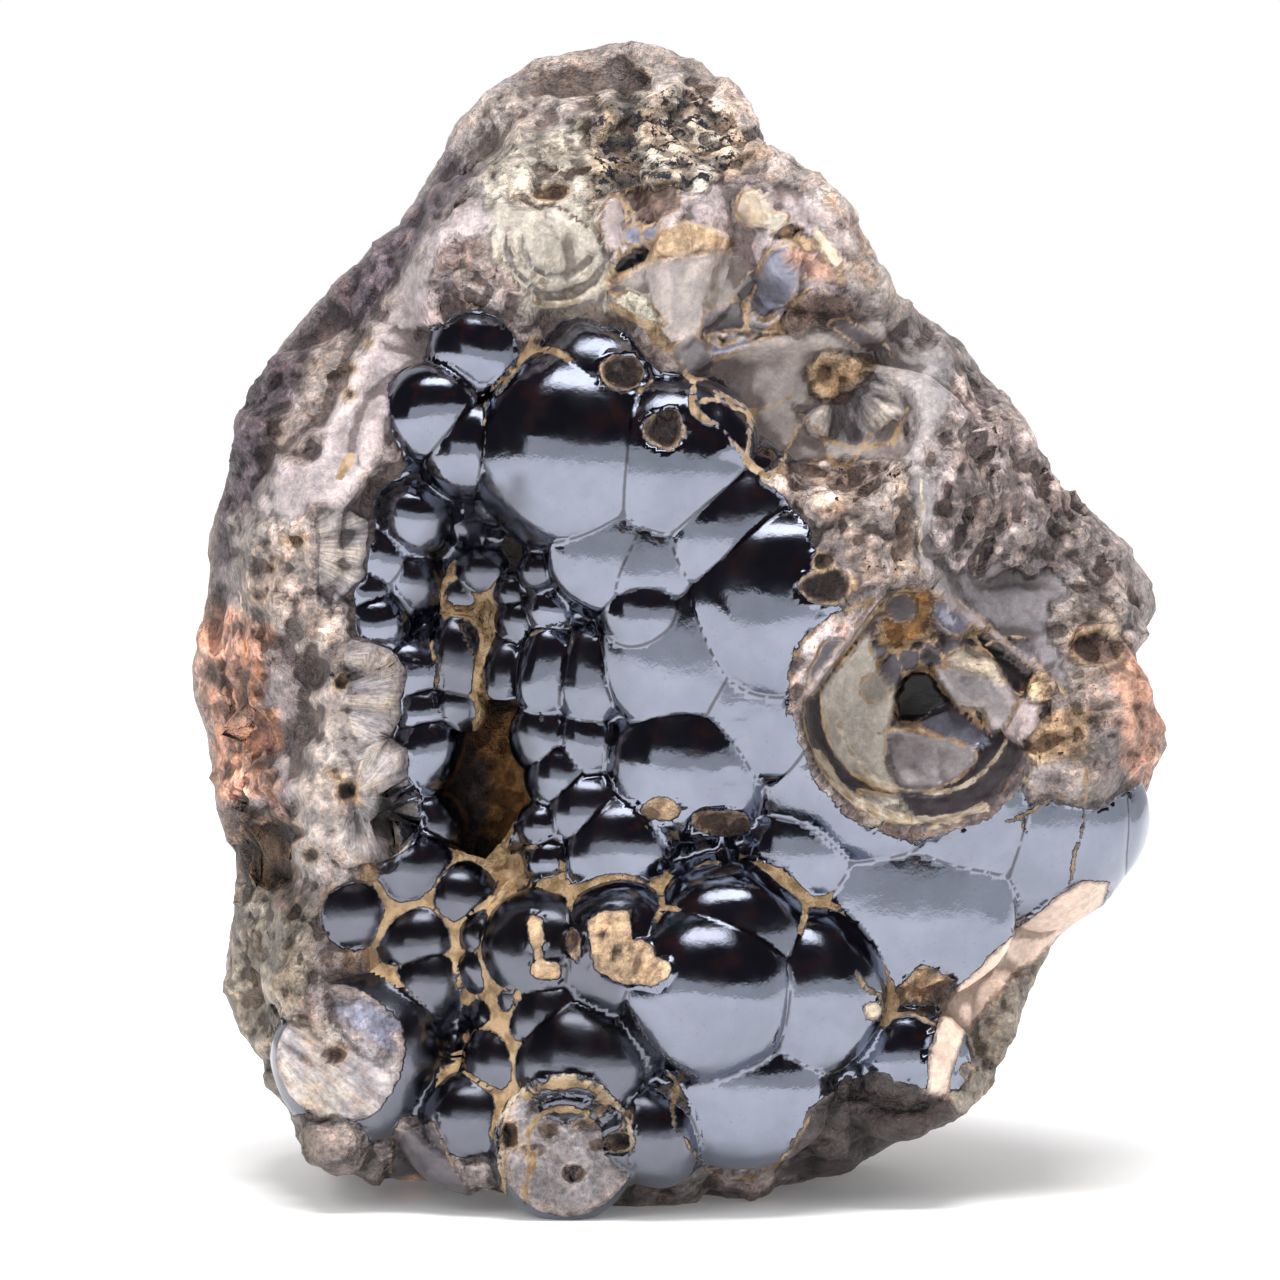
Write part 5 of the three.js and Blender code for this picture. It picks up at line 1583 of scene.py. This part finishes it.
    def sharpen(self, p: Array, reach: Array) -> Array:
        """Moves places near the crease of two whole lobes onto that crease.

        Args:
            p: Places in the face frame.
            reach: How far each place may be from the crease.

        Returns:
            The places.
        """
        relief = self.work.at("relief", p) * self.face_share(p)
        q = p.copy()
        q[:, 2] += relief
        order, gaps, away = self.nearest_two(q)
        cosine = (away[:, 0] * away[:, 1]).sum(1)
        share = 1.0 - cosine * cosine
        spread = np.linalg.norm(away[:, 0] - away[:, 1], axis=1)
        crease = (gaps[:, 1] - gaps[:, 0]) / np.maximum(spread, 1e-3)
        whole = (order < len(self.lobes.whole)).all(1)
        near = whole & (np.abs(gaps[:, 0]) < 0.08) & (share > 0.004) & (crease < reach)
        g0, g1 = -gaps[:, 0], -gaps[:, 1]
        safe = np.maximum(share, 0.004)
        move = away[:, 0] * ((g0 - cosine * g1) / safe)[:, None]
        move += away[:, 1] * ((g1 - cosine * g0) / safe)[:, None]
        near &= np.linalg.norm(move, axis=1) < 1.6 * reach
        return np.where(near[:, None], p + move, p)

    def finish_mesh(self, piece: bpy.types.Object) -> None:
        """Turns the faces out, shades them and writes what the finish reads.

        Args:
            piece: The piece.
        """
        bpy.ops.object.mode_set(mode="EDIT")
        bpy.ops.mesh.select_all(action="SELECT")
        bpy.ops.mesh.normals_make_consistent(inside=False)
        bpy.ops.object.mode_set(mode="OBJECT")
        bpy.ops.object.shade_smooth()
        mesh = piece.data
        p = self.frame.face(self.read(mesh.vertices, "co"))
        facing = self.read(mesh.vertices, "normal")
        self.write_finish(mesh, p, facing)
        c, s = self.frame.axes()
        x, h, d = self.slope(p, self.shading_step)[1].T
        true = np.column_stack((x, d * c + h * s, h * c - d * s))
        true /= np.maximum(np.linalg.norm(true, axis=1), 1e-6)[:, None]
        same = (true * facing).sum(1)[:, None]
        facing = mix(facing, true, 0.9 * ease((same - 0.3) / 0.4))
        facing /= np.linalg.norm(facing, axis=1)[:, None]
        mesh.normals_split_custom_set_from_vertices(facing.tolist())

    def write_finish(self, mesh: bpy.types.Mesh, p: Array, facing: Array) -> None:
        """Writes one value for each vertex and each thing that the finish reads.

        Args:
            mesh: The mesh.
            p: Its vertices in the face frame.
            facing: Their directions outward, in the standing frame.
        """
        share = self.face_share(p)
        q = p.copy()
        q[:, 2] += self.work.at("relief", p) * share
        rough = self.rough_gap(p, q)
        order, gaps, away = self.nearest_two(q)
        spread = np.linalg.norm(away[:, 0] - away[:, 1], axis=1)
        crease = (gaps[:, 1] - gaps[:, 0]) / np.maximum(spread, 0.15)
        bowl = self.bowl.gap(q)
        broken = order[:, 0] >= len(self.lobes.whole)
        fresh = self.fresh_break(q)
        polish = rough - gaps[:, 0]
        polish = np.where(broken, np.minimum(polish, fresh), polish)
        polish = np.minimum(polish, np.where(share > 0.5, self.work.at("cover", p), FAR))
        polish = np.where((bowl < 0.35) & (share > 0.5), -1.0, polish)
        zone = self.work.at("seam_zone", p) * share
        seam = crease + 3.0 * (1.0 - ease(zone / 0.6)) - 0.26 * zone
        body = np.minimum(gaps[:, 0], rough)
        filled = 1.5 * (self.filling_gap(p, q, gaps[:, 0]) - body)
        seam = np.where(self.work.at("web", p) > 0.1, np.minimum(seam, filled), seam)
        vein = np.where(share > 0.5, self.work.at("vein", p), FAR)
        tint = mix(Tone.ROCK.linear(), self.work.at("tint", p), share[:, None])
        vein_tint = self.work.at("vein_tint", p)
        self.write(mesh, "polish_gap", np.clip(polish, -3.0, 3.0))
        self.write(mesh, "seam_gap", np.clip(np.minimum(seam, vein), -1.0, 3.0))
        # crease_gap also sets the painted shade in the creases of the polished lobes
        self.write(mesh, "crease_gap", np.clip(crease, 0.0, 4.0))
        # hollowness drives the painted shade in hollows and the painted highlights on tips of the crust
        self.write(mesh, "hollow", self.hollowness(mesh, p, facing) * mix(0.35, 1.0, share))
        for name, behind in self.behind:
            self.write(mesh, name, mix(behind, self.work.at(name, p), share))
        self.write_colour(mesh, "tint", tint)
        use_vein = (vein < seam)[:, None]
        self.write_colour(mesh, "seam_tint", np.where(use_vein, vein_tint, Tone.SEAM.linear()))
        fibre = self.work.at("fibre", p)
        fibre[:, 2] *= share
        self.write_colour(mesh, "fibre", fibre)

    def fresh_break(self, q: Array) -> Array:
        """Distance of places to the broken faces of the two broken lobes."""
        nearest = np.full(len(q), FAR)
        for lobe, facing, offset in self.lobes.broken:
            above = (q - np.asarray(lobe.centre())) @ np.asarray(facing) - offset
            close = np.linalg.norm(q - np.asarray(lobe.centre()), axis=1) < lobe.radius + 1.0
            nearest = np.where(close, np.minimum(nearest, -above - 0.25), nearest)
        return nearest

    def hollowness(self, mesh: bpy.types.Mesh, p: Array, facing: Array) -> Array:
        """How hollow the surface is at each vertex: above 0 in pits, below 0 on tips.

        Args:
            mesh: The mesh.
            p: Its vertices in the face frame.
            facing: Their directions outward, in the standing frame.

        Returns:
            Heights of the surroundings above each vertex, evened out.
        """
        net = Net(mesh)
        c, s = self.frame.axes()
        x, y, z = facing.T
        out = np.column_stack((x, z * c + y * s, y * c - z * s))
        smooth = p
        for _ in range(5):
            smooth = net.middle(smooth)
        return ((smooth - p) * out).sum(1)

    @staticmethod
    def read(items: Any, name: str) -> Array:
        """Reads one vector for each vertex or face."""
        values = np.empty(3 * len(items))
        items.foreach_get(name, values)
        return values.reshape(-1, 3)

    @staticmethod
    def write(mesh: bpy.types.Mesh, name: str, values: Array) -> None:
        """Writes one number for each vertex."""
        mesh.attributes.new(name, "FLOAT", "POINT").data.foreach_set("value", values)

    @staticmethod
    def write_colour(mesh: bpy.types.Mesh, name: str, values: Array) -> None:
        """Writes one colour or vector for each vertex."""
        rows = np.column_stack((values, np.ones(len(values))))
        mesh.attributes.new(name, "FLOAT_COLOR", "POINT").data.foreach_set("color", rows.ravel())


# ---- finishes
class Sketch:
    """Short way of writing a node tree."""

    def __init__(self, tree: bpy.types.NodeTree) -> None:
        """Starts with an empty tree."""
        self.tree = tree
        tree.nodes.clear()

    def add(self, kind: str, inputs: dict[Any, Any] | None = None, **settings: Any) -> bpy.types.Node:
        """Adds a node.

        Args:
            kind: Type name of the node.
            inputs: Values or output sockets for its inputs, by name or number.
            settings: Properties of the node.

        Returns:
            The node.
        """
        node = self.tree.nodes.new(kind)
        for name, value in settings.items():
            setattr(node, name, value)
        for name, value in (inputs or {}).items():
            if isinstance(value, Socket):
                self.tree.links.new(value, node.inputs[name])
            else:
                node.inputs[name].default_value = value
        return node

    def math(self, operation: str, *values: Any) -> Socket:
        """Adds an operation on numbers."""
        return self.add("ShaderNodeMath", dict(enumerate(values)), operation=operation).outputs[0]

    def plus(self, a: Any, b: Any) -> Socket:
        """Sum of two numbers."""
        return self.math("ADD", a, b)

    def minus(self, a: Any, b: Any) -> Socket:
        """Difference of two numbers."""
        return self.math("SUBTRACT", a, b)

    def times(self, a: Any, b: Any) -> Socket:
        """Product of two numbers."""
        return self.math("MULTIPLY", a, b)

    def grey(self, value: Any) -> Socket:
        """Grey colour of a number."""
        return self.add("ShaderNodeCombineColor", {0: value, 1: value, 2: value}).outputs[0]

    def voronoi(self, place: Any, scale: float) -> Any:
        """Three random numbers for each cell of a pattern."""
        cell = self.add("ShaderNodeTexVoronoi", {"Vector": place, "Scale": scale})
        return self.add("ShaderNodeSeparateXYZ", {0: cell.outputs["Color"]}).outputs

    def ramp(self, value: Any, low: float, high: float, a: float = 0.0,
             b: float = 1.0) -> Socket:
        """Maps low..high of a value smoothly to a..b."""
        node = self.add("ShaderNodeMapRange", {0: value, 1: low, 2: high, 3: a, 4: b},
                        interpolation_type="SMOOTHSTEP")
        return node.outputs[0]

    def blend(self, share: Any, a: Any, b: Any, kind: str = "MIX") -> Socket:
        """Blends two colours by a share."""
        node = self.add("ShaderNodeMix", {0: share, 6: a, 7: b}, data_type="RGBA", blend_type=kind)
        return node.outputs[2]

    def number(self, share: Any, a: Any, b: Any) -> Socket:
        """Blends two numbers by a share."""
        return self.add("ShaderNodeMix", {0: share, 2: a, 3: b}, data_type="FLOAT").outputs[0]

    def noise(self, place: Any, scale: float, detail: float = 2.0, rough: float = 0.5) -> Socket:
        """Cloudy pattern on given places."""
        node = self.add("ShaderNodeTexNoise",
                        {"Vector": place, "Scale": scale, "Detail": detail, "Roughness": rough})
        return node.outputs["Fac"]

    def value(self, name: str, kind: str = "Fac") -> Socket:
        """Reads a number, a Color or a Vector that is written on the mesh."""
        return self.add("ShaderNodeAttribute", attribute_name=name).outputs[kind]


def new_group(name: str, inputs: Iterable[tuple[str, str]],
              outputs: Iterable[tuple[str, str]]) -> tuple[Sketch, bpy.types.Node, bpy.types.Node]:
    """Makes an empty shader node group.

    Args:
        name: Name of the group.
        inputs: Name and kind of each input.
        outputs: Name and kind of each output.

    Returns:
        The sketch of its tree, its input node and its output node.
    """
    tree = bpy.data.node_groups.new(name, "ShaderNodeTree")
    for title, kind in inputs:
        tree.interface.new_socket(title, in_out="INPUT", socket_type=f"NodeSocket{kind}")
    for title, kind in outputs:
        tree.interface.new_socket(title, in_out="OUTPUT", socket_type=f"NodeSocket{kind}")
    sketch = Sketch(tree)
    return sketch, sketch.add("NodeGroupInput"), sketch.add("NodeGroupOutput")


@dataclass(frozen=True)
class CrustFinish:
    """Mottled matt crust with dark shining grains, painted shade in hollows and painted highlights on tips.

    Attributes:
        coarse: Scale of the large mottling, per metre.
        fine: Scale of the fine mottling.
        warm: Scale of the ochre clouds.
        chip: Scale of the angular chips.
        grain: Scale of the grains.
    """

    coarse: float = 420.0
    fine: float = 2200.0
    warm: float = 330.0
    chip: float = 1150.0
    grain: float = 2300.0

    def group(self) -> bpy.types.NodeTree:
        """Makes the group that mottles a colour and paints shade and highlights into it."""
        s, given, result = new_group(
            "crust_mottle_and_painted_light",
            (("Place", "Vector"), ("Tint", "Color"), ("Hollow", "Float"), ("Glint", "Float"),
             ("Crumb", "Float"), ("Warm", "Float")),
            (("Color", "Color"), ("Grain", "Float"), ("Height", "Float")),
        )
        place, tint, crumb, warm = (given.outputs[name] for name in ("Place", "Tint", "Crumb", "Warm"))
        cloud = s.noise(place, self.coarse, 4.0, 0.6)
        speck = s.noise(place, self.fine, 3.0, 0.7)
        spot = s.noise(place, self.chip, 4.0, 0.6)
        bit, slab = s.voronoi(place, self.grain), s.voronoi(place, self.chip)
        strength = s.ramp(crumb, 0.0, 0.6, 0.2, 1.0)
        shade = s.plus(s.times(cloud, 1.2), s.times(speck, 1.4))
        shade = s.plus(shade, s.times(bit[0], s.times(strength, 0.25)))
        shade = s.ramp(shade, 0.95, 1.8, 0.5, 1.5)
        shade = s.number(s.ramp(crumb, 0.0, 0.4, 0.4, 1.0), 1.0, shade)
        colour = s.blend(1.0, tint, s.grey(shade), "MULTIPLY")
        ochre = s.ramp(s.noise(place, self.warm, 4.0, 0.65), 0.48, 0.6)
        pale = s.ramp(bit[1], 0.8, 0.88)
        # painted shade darkens the hollows, and a painted highlight lightens the tips
        pit = s.ramp(given.outputs["Hollow"], 0.01, 0.11)
        tip_highlight = s.ramp(given.outputs["Hollow"], -0.02, -0.12)
        for share, part, gain in (
                (ochre, warm, (1.22, 1.04, 0.82)), (s.ramp(spot, 0.55, 0.62), warm, (1.28, 0.95, 0.82)),
                (pale, s.times(strength, 0.7), (1.6, 1.55, 1.45)), (pit, 0.8, (0.26, 0.22, 0.21)),
                (tip_highlight, 0.8, (1.5, 1.46, 1.4))):
            colour = s.blend(s.times(share, part), colour, (*gain, 1.0), "MULTIPLY")
        level = s.minus(0.93, s.times(given.outputs["Glint"], 0.24))
        shining = s.plus(s.times(spot, 0.8), s.times(speck, 0.5))
        shining = s.ramp(s.minus(shining, level), -0.02, 0.03)
        height = s.plus(s.times(speck, 0.9), s.times(bit[0], 0.2))
        height = s.plus(height, s.plus(s.times(spot, 0.9), s.times(slab[0], 0.35)))
        height = s.times(height, s.ramp(crumb, 0.0, 0.5, 0.3, 2.2))
        for name, socket in (("Color", colour), ("Grain", shining), ("Height", height)):
            s.tree.links.new(socket, result.inputs[name])
        return s.tree


@dataclass(frozen=True)
class OreFinish:
    """Finish of the whole stone: polished lobes, seams and crust.

    Attributes:
        metal: Colour of the polished lobes.
        painted_shade_metal: Their darker colour in the recessed areas: painted shade.
        polish: Roughness of the polished lobes.
        dulled: Roughness that the dulling adds.
        matt: Roughness of the crust.
    """

    metal: Place = (0.248, 0.268, 0.33)
    painted_shade_metal: Place = (0.15, 0.155, 0.185)
    polish: float = 0.12
    dulled: float = 0.1
    matt: float = 0.52
    crust: CrustFinish = CrustFinish()

    def material(self) -> bpy.types.Material:
        """Makes the material."""
        material = bpy.data.materials.new("hematite_ore")
        material.use_nodes = True
        s = Sketch(material.node_tree)
        place = s.add("ShaderNodeTexCoord").outputs["Object"]
        gloss, dulling_and_shade = s.value("gloss"), s.value("dulling_and_shade")
        mottle = s.add("ShaderNodeGroup", node_tree=self.crust.group())
        s.tree.links.new(place, mottle.inputs["Place"])
        s.tree.links.new(s.value("tint", "Color"), mottle.inputs["Tint"])
        for name in ("Hollow", "Glint", "Crumb", "Warm"):
            s.tree.links.new(s.value(name.lower()), mottle.inputs[name])
        # edges of the polish, of the seams and of the creases wander a little
        jitter = s.minus(s.noise(place, 1900.0, 3.0), 0.5)
        polished = s.ramp(s.plus(s.value("polish_gap"), s.times(jitter, 0.5)), -0.02, 0.12)
        seam = s.ramp(s.plus(s.value("seam_gap"), s.times(jitter, 0.35)), 0.08, -0.04)
        crease = s.ramp(s.plus(s.value("crease_gap"), s.times(jitter, 0.1)), 0.2, 0.04)
        bare = s.minus(1.0, seam)
        polished = s.times(polished, bare)
        # crust colour, with fibres
        parts = s.add("ShaderNodeSeparateXYZ", {0: s.value("fibre", "Vector")})
        ray = s.add("ShaderNodeCombineXYZ", {0: parts.outputs[0], 1: s.times(parts.outputs[1], 0.25)})
        streak = s.ramp(s.noise(ray.outputs[0], 1.6, 3.0, 0.7), 0.3, 0.7, 0.6, 1.35)
        streaked = s.blend(1.0, mottle.outputs["Color"], s.grey(streak), "MULTIPLY")
        matt = s.blend(parts.outputs[2], mottle.outputs["Color"], streaked)
        grime = s.ramp(s.noise(place, 900.0, 3.0), 0.35, 0.65)
        grime = s.blend(grime, (0.55, 0.5, 0.42, 1), (1.1, 1.1, 1.1, 1))
        matt = s.blend(seam, matt, s.blend(1.0, s.value("seam_tint", "Color"), grime, "MULTIPLY"))
        grain = s.times(mottle.outputs["Grain"], bare)
        matt = s.blend(grain, matt, (0.10, 0.105, 0.12, 1))
        # polished colour, with faint clouds, painted shade in the creases and dust
        cloud = s.grey(s.ramp(s.noise(place, 260.0, 4.0, 0.6), 0.3, 0.7, 0.9, 1.06))
        # painted shade: lobes in the recessed areas take the darker metal colour
        metal = s.blend(dulling_and_shade, (*self.metal, 1.0), (*self.painted_shade_metal, 1.0))
        metal = s.blend(1.0, metal, cloud, "MULTIPLY")
        metal = s.blend(s.times(crease, 0.75), metal, (0.06, 0.055, 0.06, 1))
        dust = s.times(s.ramp(s.noise(place, 3300.0, 2.0), 0.64, 0.74), 0.4)
        metal = s.blend(dust, metal, (0.20, 0.17, 0.15, 1))
        colour = s.blend(polished, matt, metal)
        dull = s.number(grain, s.number(gloss, self.matt, 0.22), 0.25)
        smooth = s.ramp(s.noise(place, 500.0, 3.0), 0.3, 0.75, self.polish - 0.03, self.polish + 0.07)
        smooth = s.plus(smooth, s.times(dulling_and_shade, self.dulled))
        rough = s.number(polished, dull, smooth)
        silky = s.math("MAXIMUM", grain, s.ramp(gloss, 0.5, 1.0, 0.0, 0.7))
        metallic = s.number(polished, s.times(silky, 0.8), 1.0)
        height = s.times(mottle.outputs["Height"], s.ramp(gloss, 0.2, 0.8, 1.0, 0.15))
        ripple = s.times(s.noise(place, 260.0, 1.0), 0.16)
        ripple = s.plus(ripple, s.times(s.noise(place, 800.0, 3.0, 0.6), 0.075))
        height = s.number(polished, height, ripple)
        bump = s.add("ShaderNodeBump", {"Height": height, "Distance": 0.4 * MM, "Strength": 1.0})
        shader = s.add("ShaderNodeBsdfPrincipled", {
            "Base Color": colour, "Roughness": rough, "Metallic": metallic,
            "Normal": bump.outputs["Normal"], "Specular IOR Level": 0.5,
        })
        s.add("ShaderNodeOutputMaterial", {"Surface": shader.outputs[0]})
        return material


@dataclass(frozen=True)
class FloorFinish:
    """Plain pale floor."""

    colour: Place = (0.9, 0.9, 0.9)

    def material(self) -> bpy.types.Material:
        """Makes the material."""
        material = bpy.data.materials.new("pale_floor")
        material.use_nodes = True
        s = Sketch(material.node_tree)
        shader = s.add("ShaderNodeBsdfPrincipled", {
            "Base Color": (*self.colour, 1.0), "Roughness": 0.9, "Specular IOR Level": 0.0,
            "Emission Color": (1.0, 1.0, 1.0, 1.0), "Emission Strength": 0.1,
        })
        s.add("ShaderNodeOutputMaterial", {"Surface": shader.outputs[0]})
        return material


# ---- studio
@dataclass
class Studio:
    """Floor, soft light and camera.

    Attributes:
        frame: Frame of the face, which the camera looks straight at.
        aim: Point of the face in the middle of the picture.
        distance: Distance of the camera from that point.
        scale: Picture dots to a millimetre at that point, in a picture of side `side`.
        side: Side of the picture in dots.
        floor_radius: Radius of the floor, in metres.
        sky: Strength of the even light.
        box_size: Width and height of the soft box, in metres.
        box_distance: Its distance, in metres.
        box_height: Its height above the horizon, in degrees.
        box_power: Its power in watts.
        fill_place: Where the fill lamp hangs, in metres.
        fill_size: Its width and height, in metres.
        fill_power: Its power in watts.
    """

    frame: FaceFrame = FaceFrame()
    aim: Place = (-3.0, 45.15, 15.0)
    distance: float = 1200.0
    scale: float = 13.0
    side: float = 1280.0
    floor_radius: float = 0.76
    sky: float = 0.72
    box_size: tuple[float, float] = (0.5, 0.24)
    box_distance: float = 0.8
    box_height: float = 75.0
    box_power: float = 6.6
    fill_place: Place = (-0.5, -0.8, 0.5)
    fill_size: tuple[float, float] = (0.6, 0.6)
    fill_power: float = 3.0

    def build(self) -> None:
        """Sets up the whole studio."""
        self.floor()
        self.sky_light()
        self.soft_box()
        self.camera()
        bpy.context.scene.view_settings.view_transform = "Standard"

    def floor(self) -> None:
        """Adds the floor."""
        bpy.ops.object.select_all(action="DESELECT")
        bpy.ops.mesh.primitive_circle_add(vertices=96, radius=self.floor_radius, fill_type="NGON")
        floor = bpy.context.object
        floor.name = "floor"
        floor.data.materials.append(FloorFinish().material())

    def sky_light(self) -> None:
        """Lights matt surfaces from all round and keeps the room dark in reflections."""
        world = bpy.data.worlds.new("studio")
        bpy.context.scene.world = world
        world.use_nodes = True
        world.cycles.sampling_method = "NONE"
        s = Sketch(world.node_tree)
        path = s.add("ShaderNodeLightPath")
        way = s.add("ShaderNodeTexCoord").outputs["Generated"]
        parts = s.add("ShaderNodeSeparateXYZ", {0: way}).outputs
        soft = s.grey(s.ramp(parts[2], -0.2, 0.9, 0.8 * self.sky, 1.15 * self.sky))
        light = s.blend(path.outputs["Is Glossy Ray"], soft, self.room(s, way, parts))
        light = s.blend(path.outputs["Is Camera Ray"], light, (1.0, 1.0, 1.0, 1))
        back = s.add("ShaderNodeBackground", {"Color": light})
        s.add("ShaderNodeOutputWorld", {"Surface": back.outputs[0]})

    def room(self, s: Sketch, way: Any, parts: Any) -> Any:
        """What the polished lobes mirror: a dark room, a low white card and a soft box.

        Args:
            s: Sketch of the world's tree.
            way: Direction, as a vector.
            parts: Direction, as three numbers.

        Returns:
            The colour.
        """
        wave = s.times(s.minus(s.noise(way, 5.0, 3.0), 0.5), 0.16)
        blotch = s.ramp(s.noise(way, 3.2, 2.0), 0.5, 0.72)
        colour = s.blend(blotch, (0.026, 0.024, 0.030, 1), (0.085, 0.034, 0.03, 1))
        # the card stands in front and on the right, up to 14 degrees high
        sway = s.times(s.minus(s.noise(way, 3.0, 3.0, 0.6), 0.5), 0.22)
        height = s.plus(parts[2], sway)
        low = s.ramp(height, 0.27, 0.22)
        right = s.ramp(s.minus(parts[0], parts[1]), -0.08, 0.02)
        colour = s.blend(s.times(low, right), colour, (0.88, 0.89, 0.91, 1))
        # the soft box hangs nearly overhead, a little in front
        wide = s.math("POWER", s.math("ABSOLUTE", s.math("DIVIDE", parts[0], 0.44)), 2.0)
        deep = s.math("DIVIDE", s.plus(parts[1], 0.27), 0.19)
        deep = s.plus(deep, s.times(wave, 3.0))
        reach = s.math("SQRT", s.plus(wide, s.math("POWER", s.math("ABSOLUTE", deep), 2.0)))
        above = s.ramp(parts[2], 0.5, 0.7)
        box = s.times(s.ramp(reach, 1.15, 0.6), above)
        colour = s.blend(box, colour, (3.6, 3.6, 3.65, 1))
        behind = s.ramp(parts[1], 0.25, 0.6)
        return s.blend(behind, colour, (0.75, 0.75, 0.76, 1))

    def soft_box(self) -> None:
        """Hangs one soft box nearly overhead and a fill in front."""
        tilt = math.radians(self.box_height)
        place = Vector((0.0, -math.cos(tilt), math.sin(tilt))) * self.box_distance
        self.lamp("soft_box", place, self.box_size, self.box_power)
        self.lamp("fill", Vector(self.fill_place), self.fill_size, self.fill_power)

    def lamp(self, name: str, place: Vector, size: tuple[float, float], power: float) -> None:
        """Hangs one lamp that shines on the stone.

        Args:
            name: Name of the lamp.
            place: Where it hangs, in metres.
            size: Width and height of its face, in metres.
            power: Power in watts.
        """
        data = bpy.data.lights.new(name, "AREA")
        data.shape = "RECTANGLE"
        data.size, data.size_y = size
        data.energy = power
        lamp = bpy.data.objects.new(name, data)
        lamp.location = place + Vector((0, 0, 0.04))
        lamp.rotation_mode = "QUATERNION"
        lamp.rotation_quaternion = (-place).to_track_quat("-Z", "Y")
        lamp.visible_glossy = False
        lamp.visible_camera = False
        bpy.context.scene.collection.objects.link(lamp)

    def camera(self) -> None:
        """Adds the camera, level with the leaning face."""
        data = bpy.data.cameras.new("camera")
        data.sensor_width = 36.0
        data.lens = data.sensor_width * self.scale * self.distance / self.side
        data.clip_start, data.clip_end = 0.05, 20.0
        camera = bpy.data.objects.new("camera", data)
        c, s = self.frame.axes()
        inward, up = Vector((0, c, -s)), Vector((0, s, c))
        target = Vector(self.frame.standing(np.asarray([self.aim]))[0])
        right = inward.cross(up)
        turn = Matrix((right, up, -inward)).transposed()
        camera.matrix_world = Matrix.Translation(target - inward * self.distance * MM) @ turn.to_4x4()
        bpy.context.scene.collection.objects.link(camera)
        bpy.context.scene.camera = camera


# ---- main
def main() -> None:
    """Builds the stone and the studio."""
    logging.basicConfig(level=logging.INFO, format="%(name)s: %(message)s")
    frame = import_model()
    stone = Stone()
    piece = stone.build(frame["nodes"][stone.node])
    piece.data.materials.append(OreFinish().material())
    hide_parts(stone.node)
    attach(piece, "root")
    triangles = sum(len(face.vertices) - 2 for face in piece.data.polygons)
    log.info("%s: %d triangles", piece.name, triangles)
    Studio().build()
    log.info("studio: floor, soft box, fill and camera")


if __name__ == "__main__":
    main()
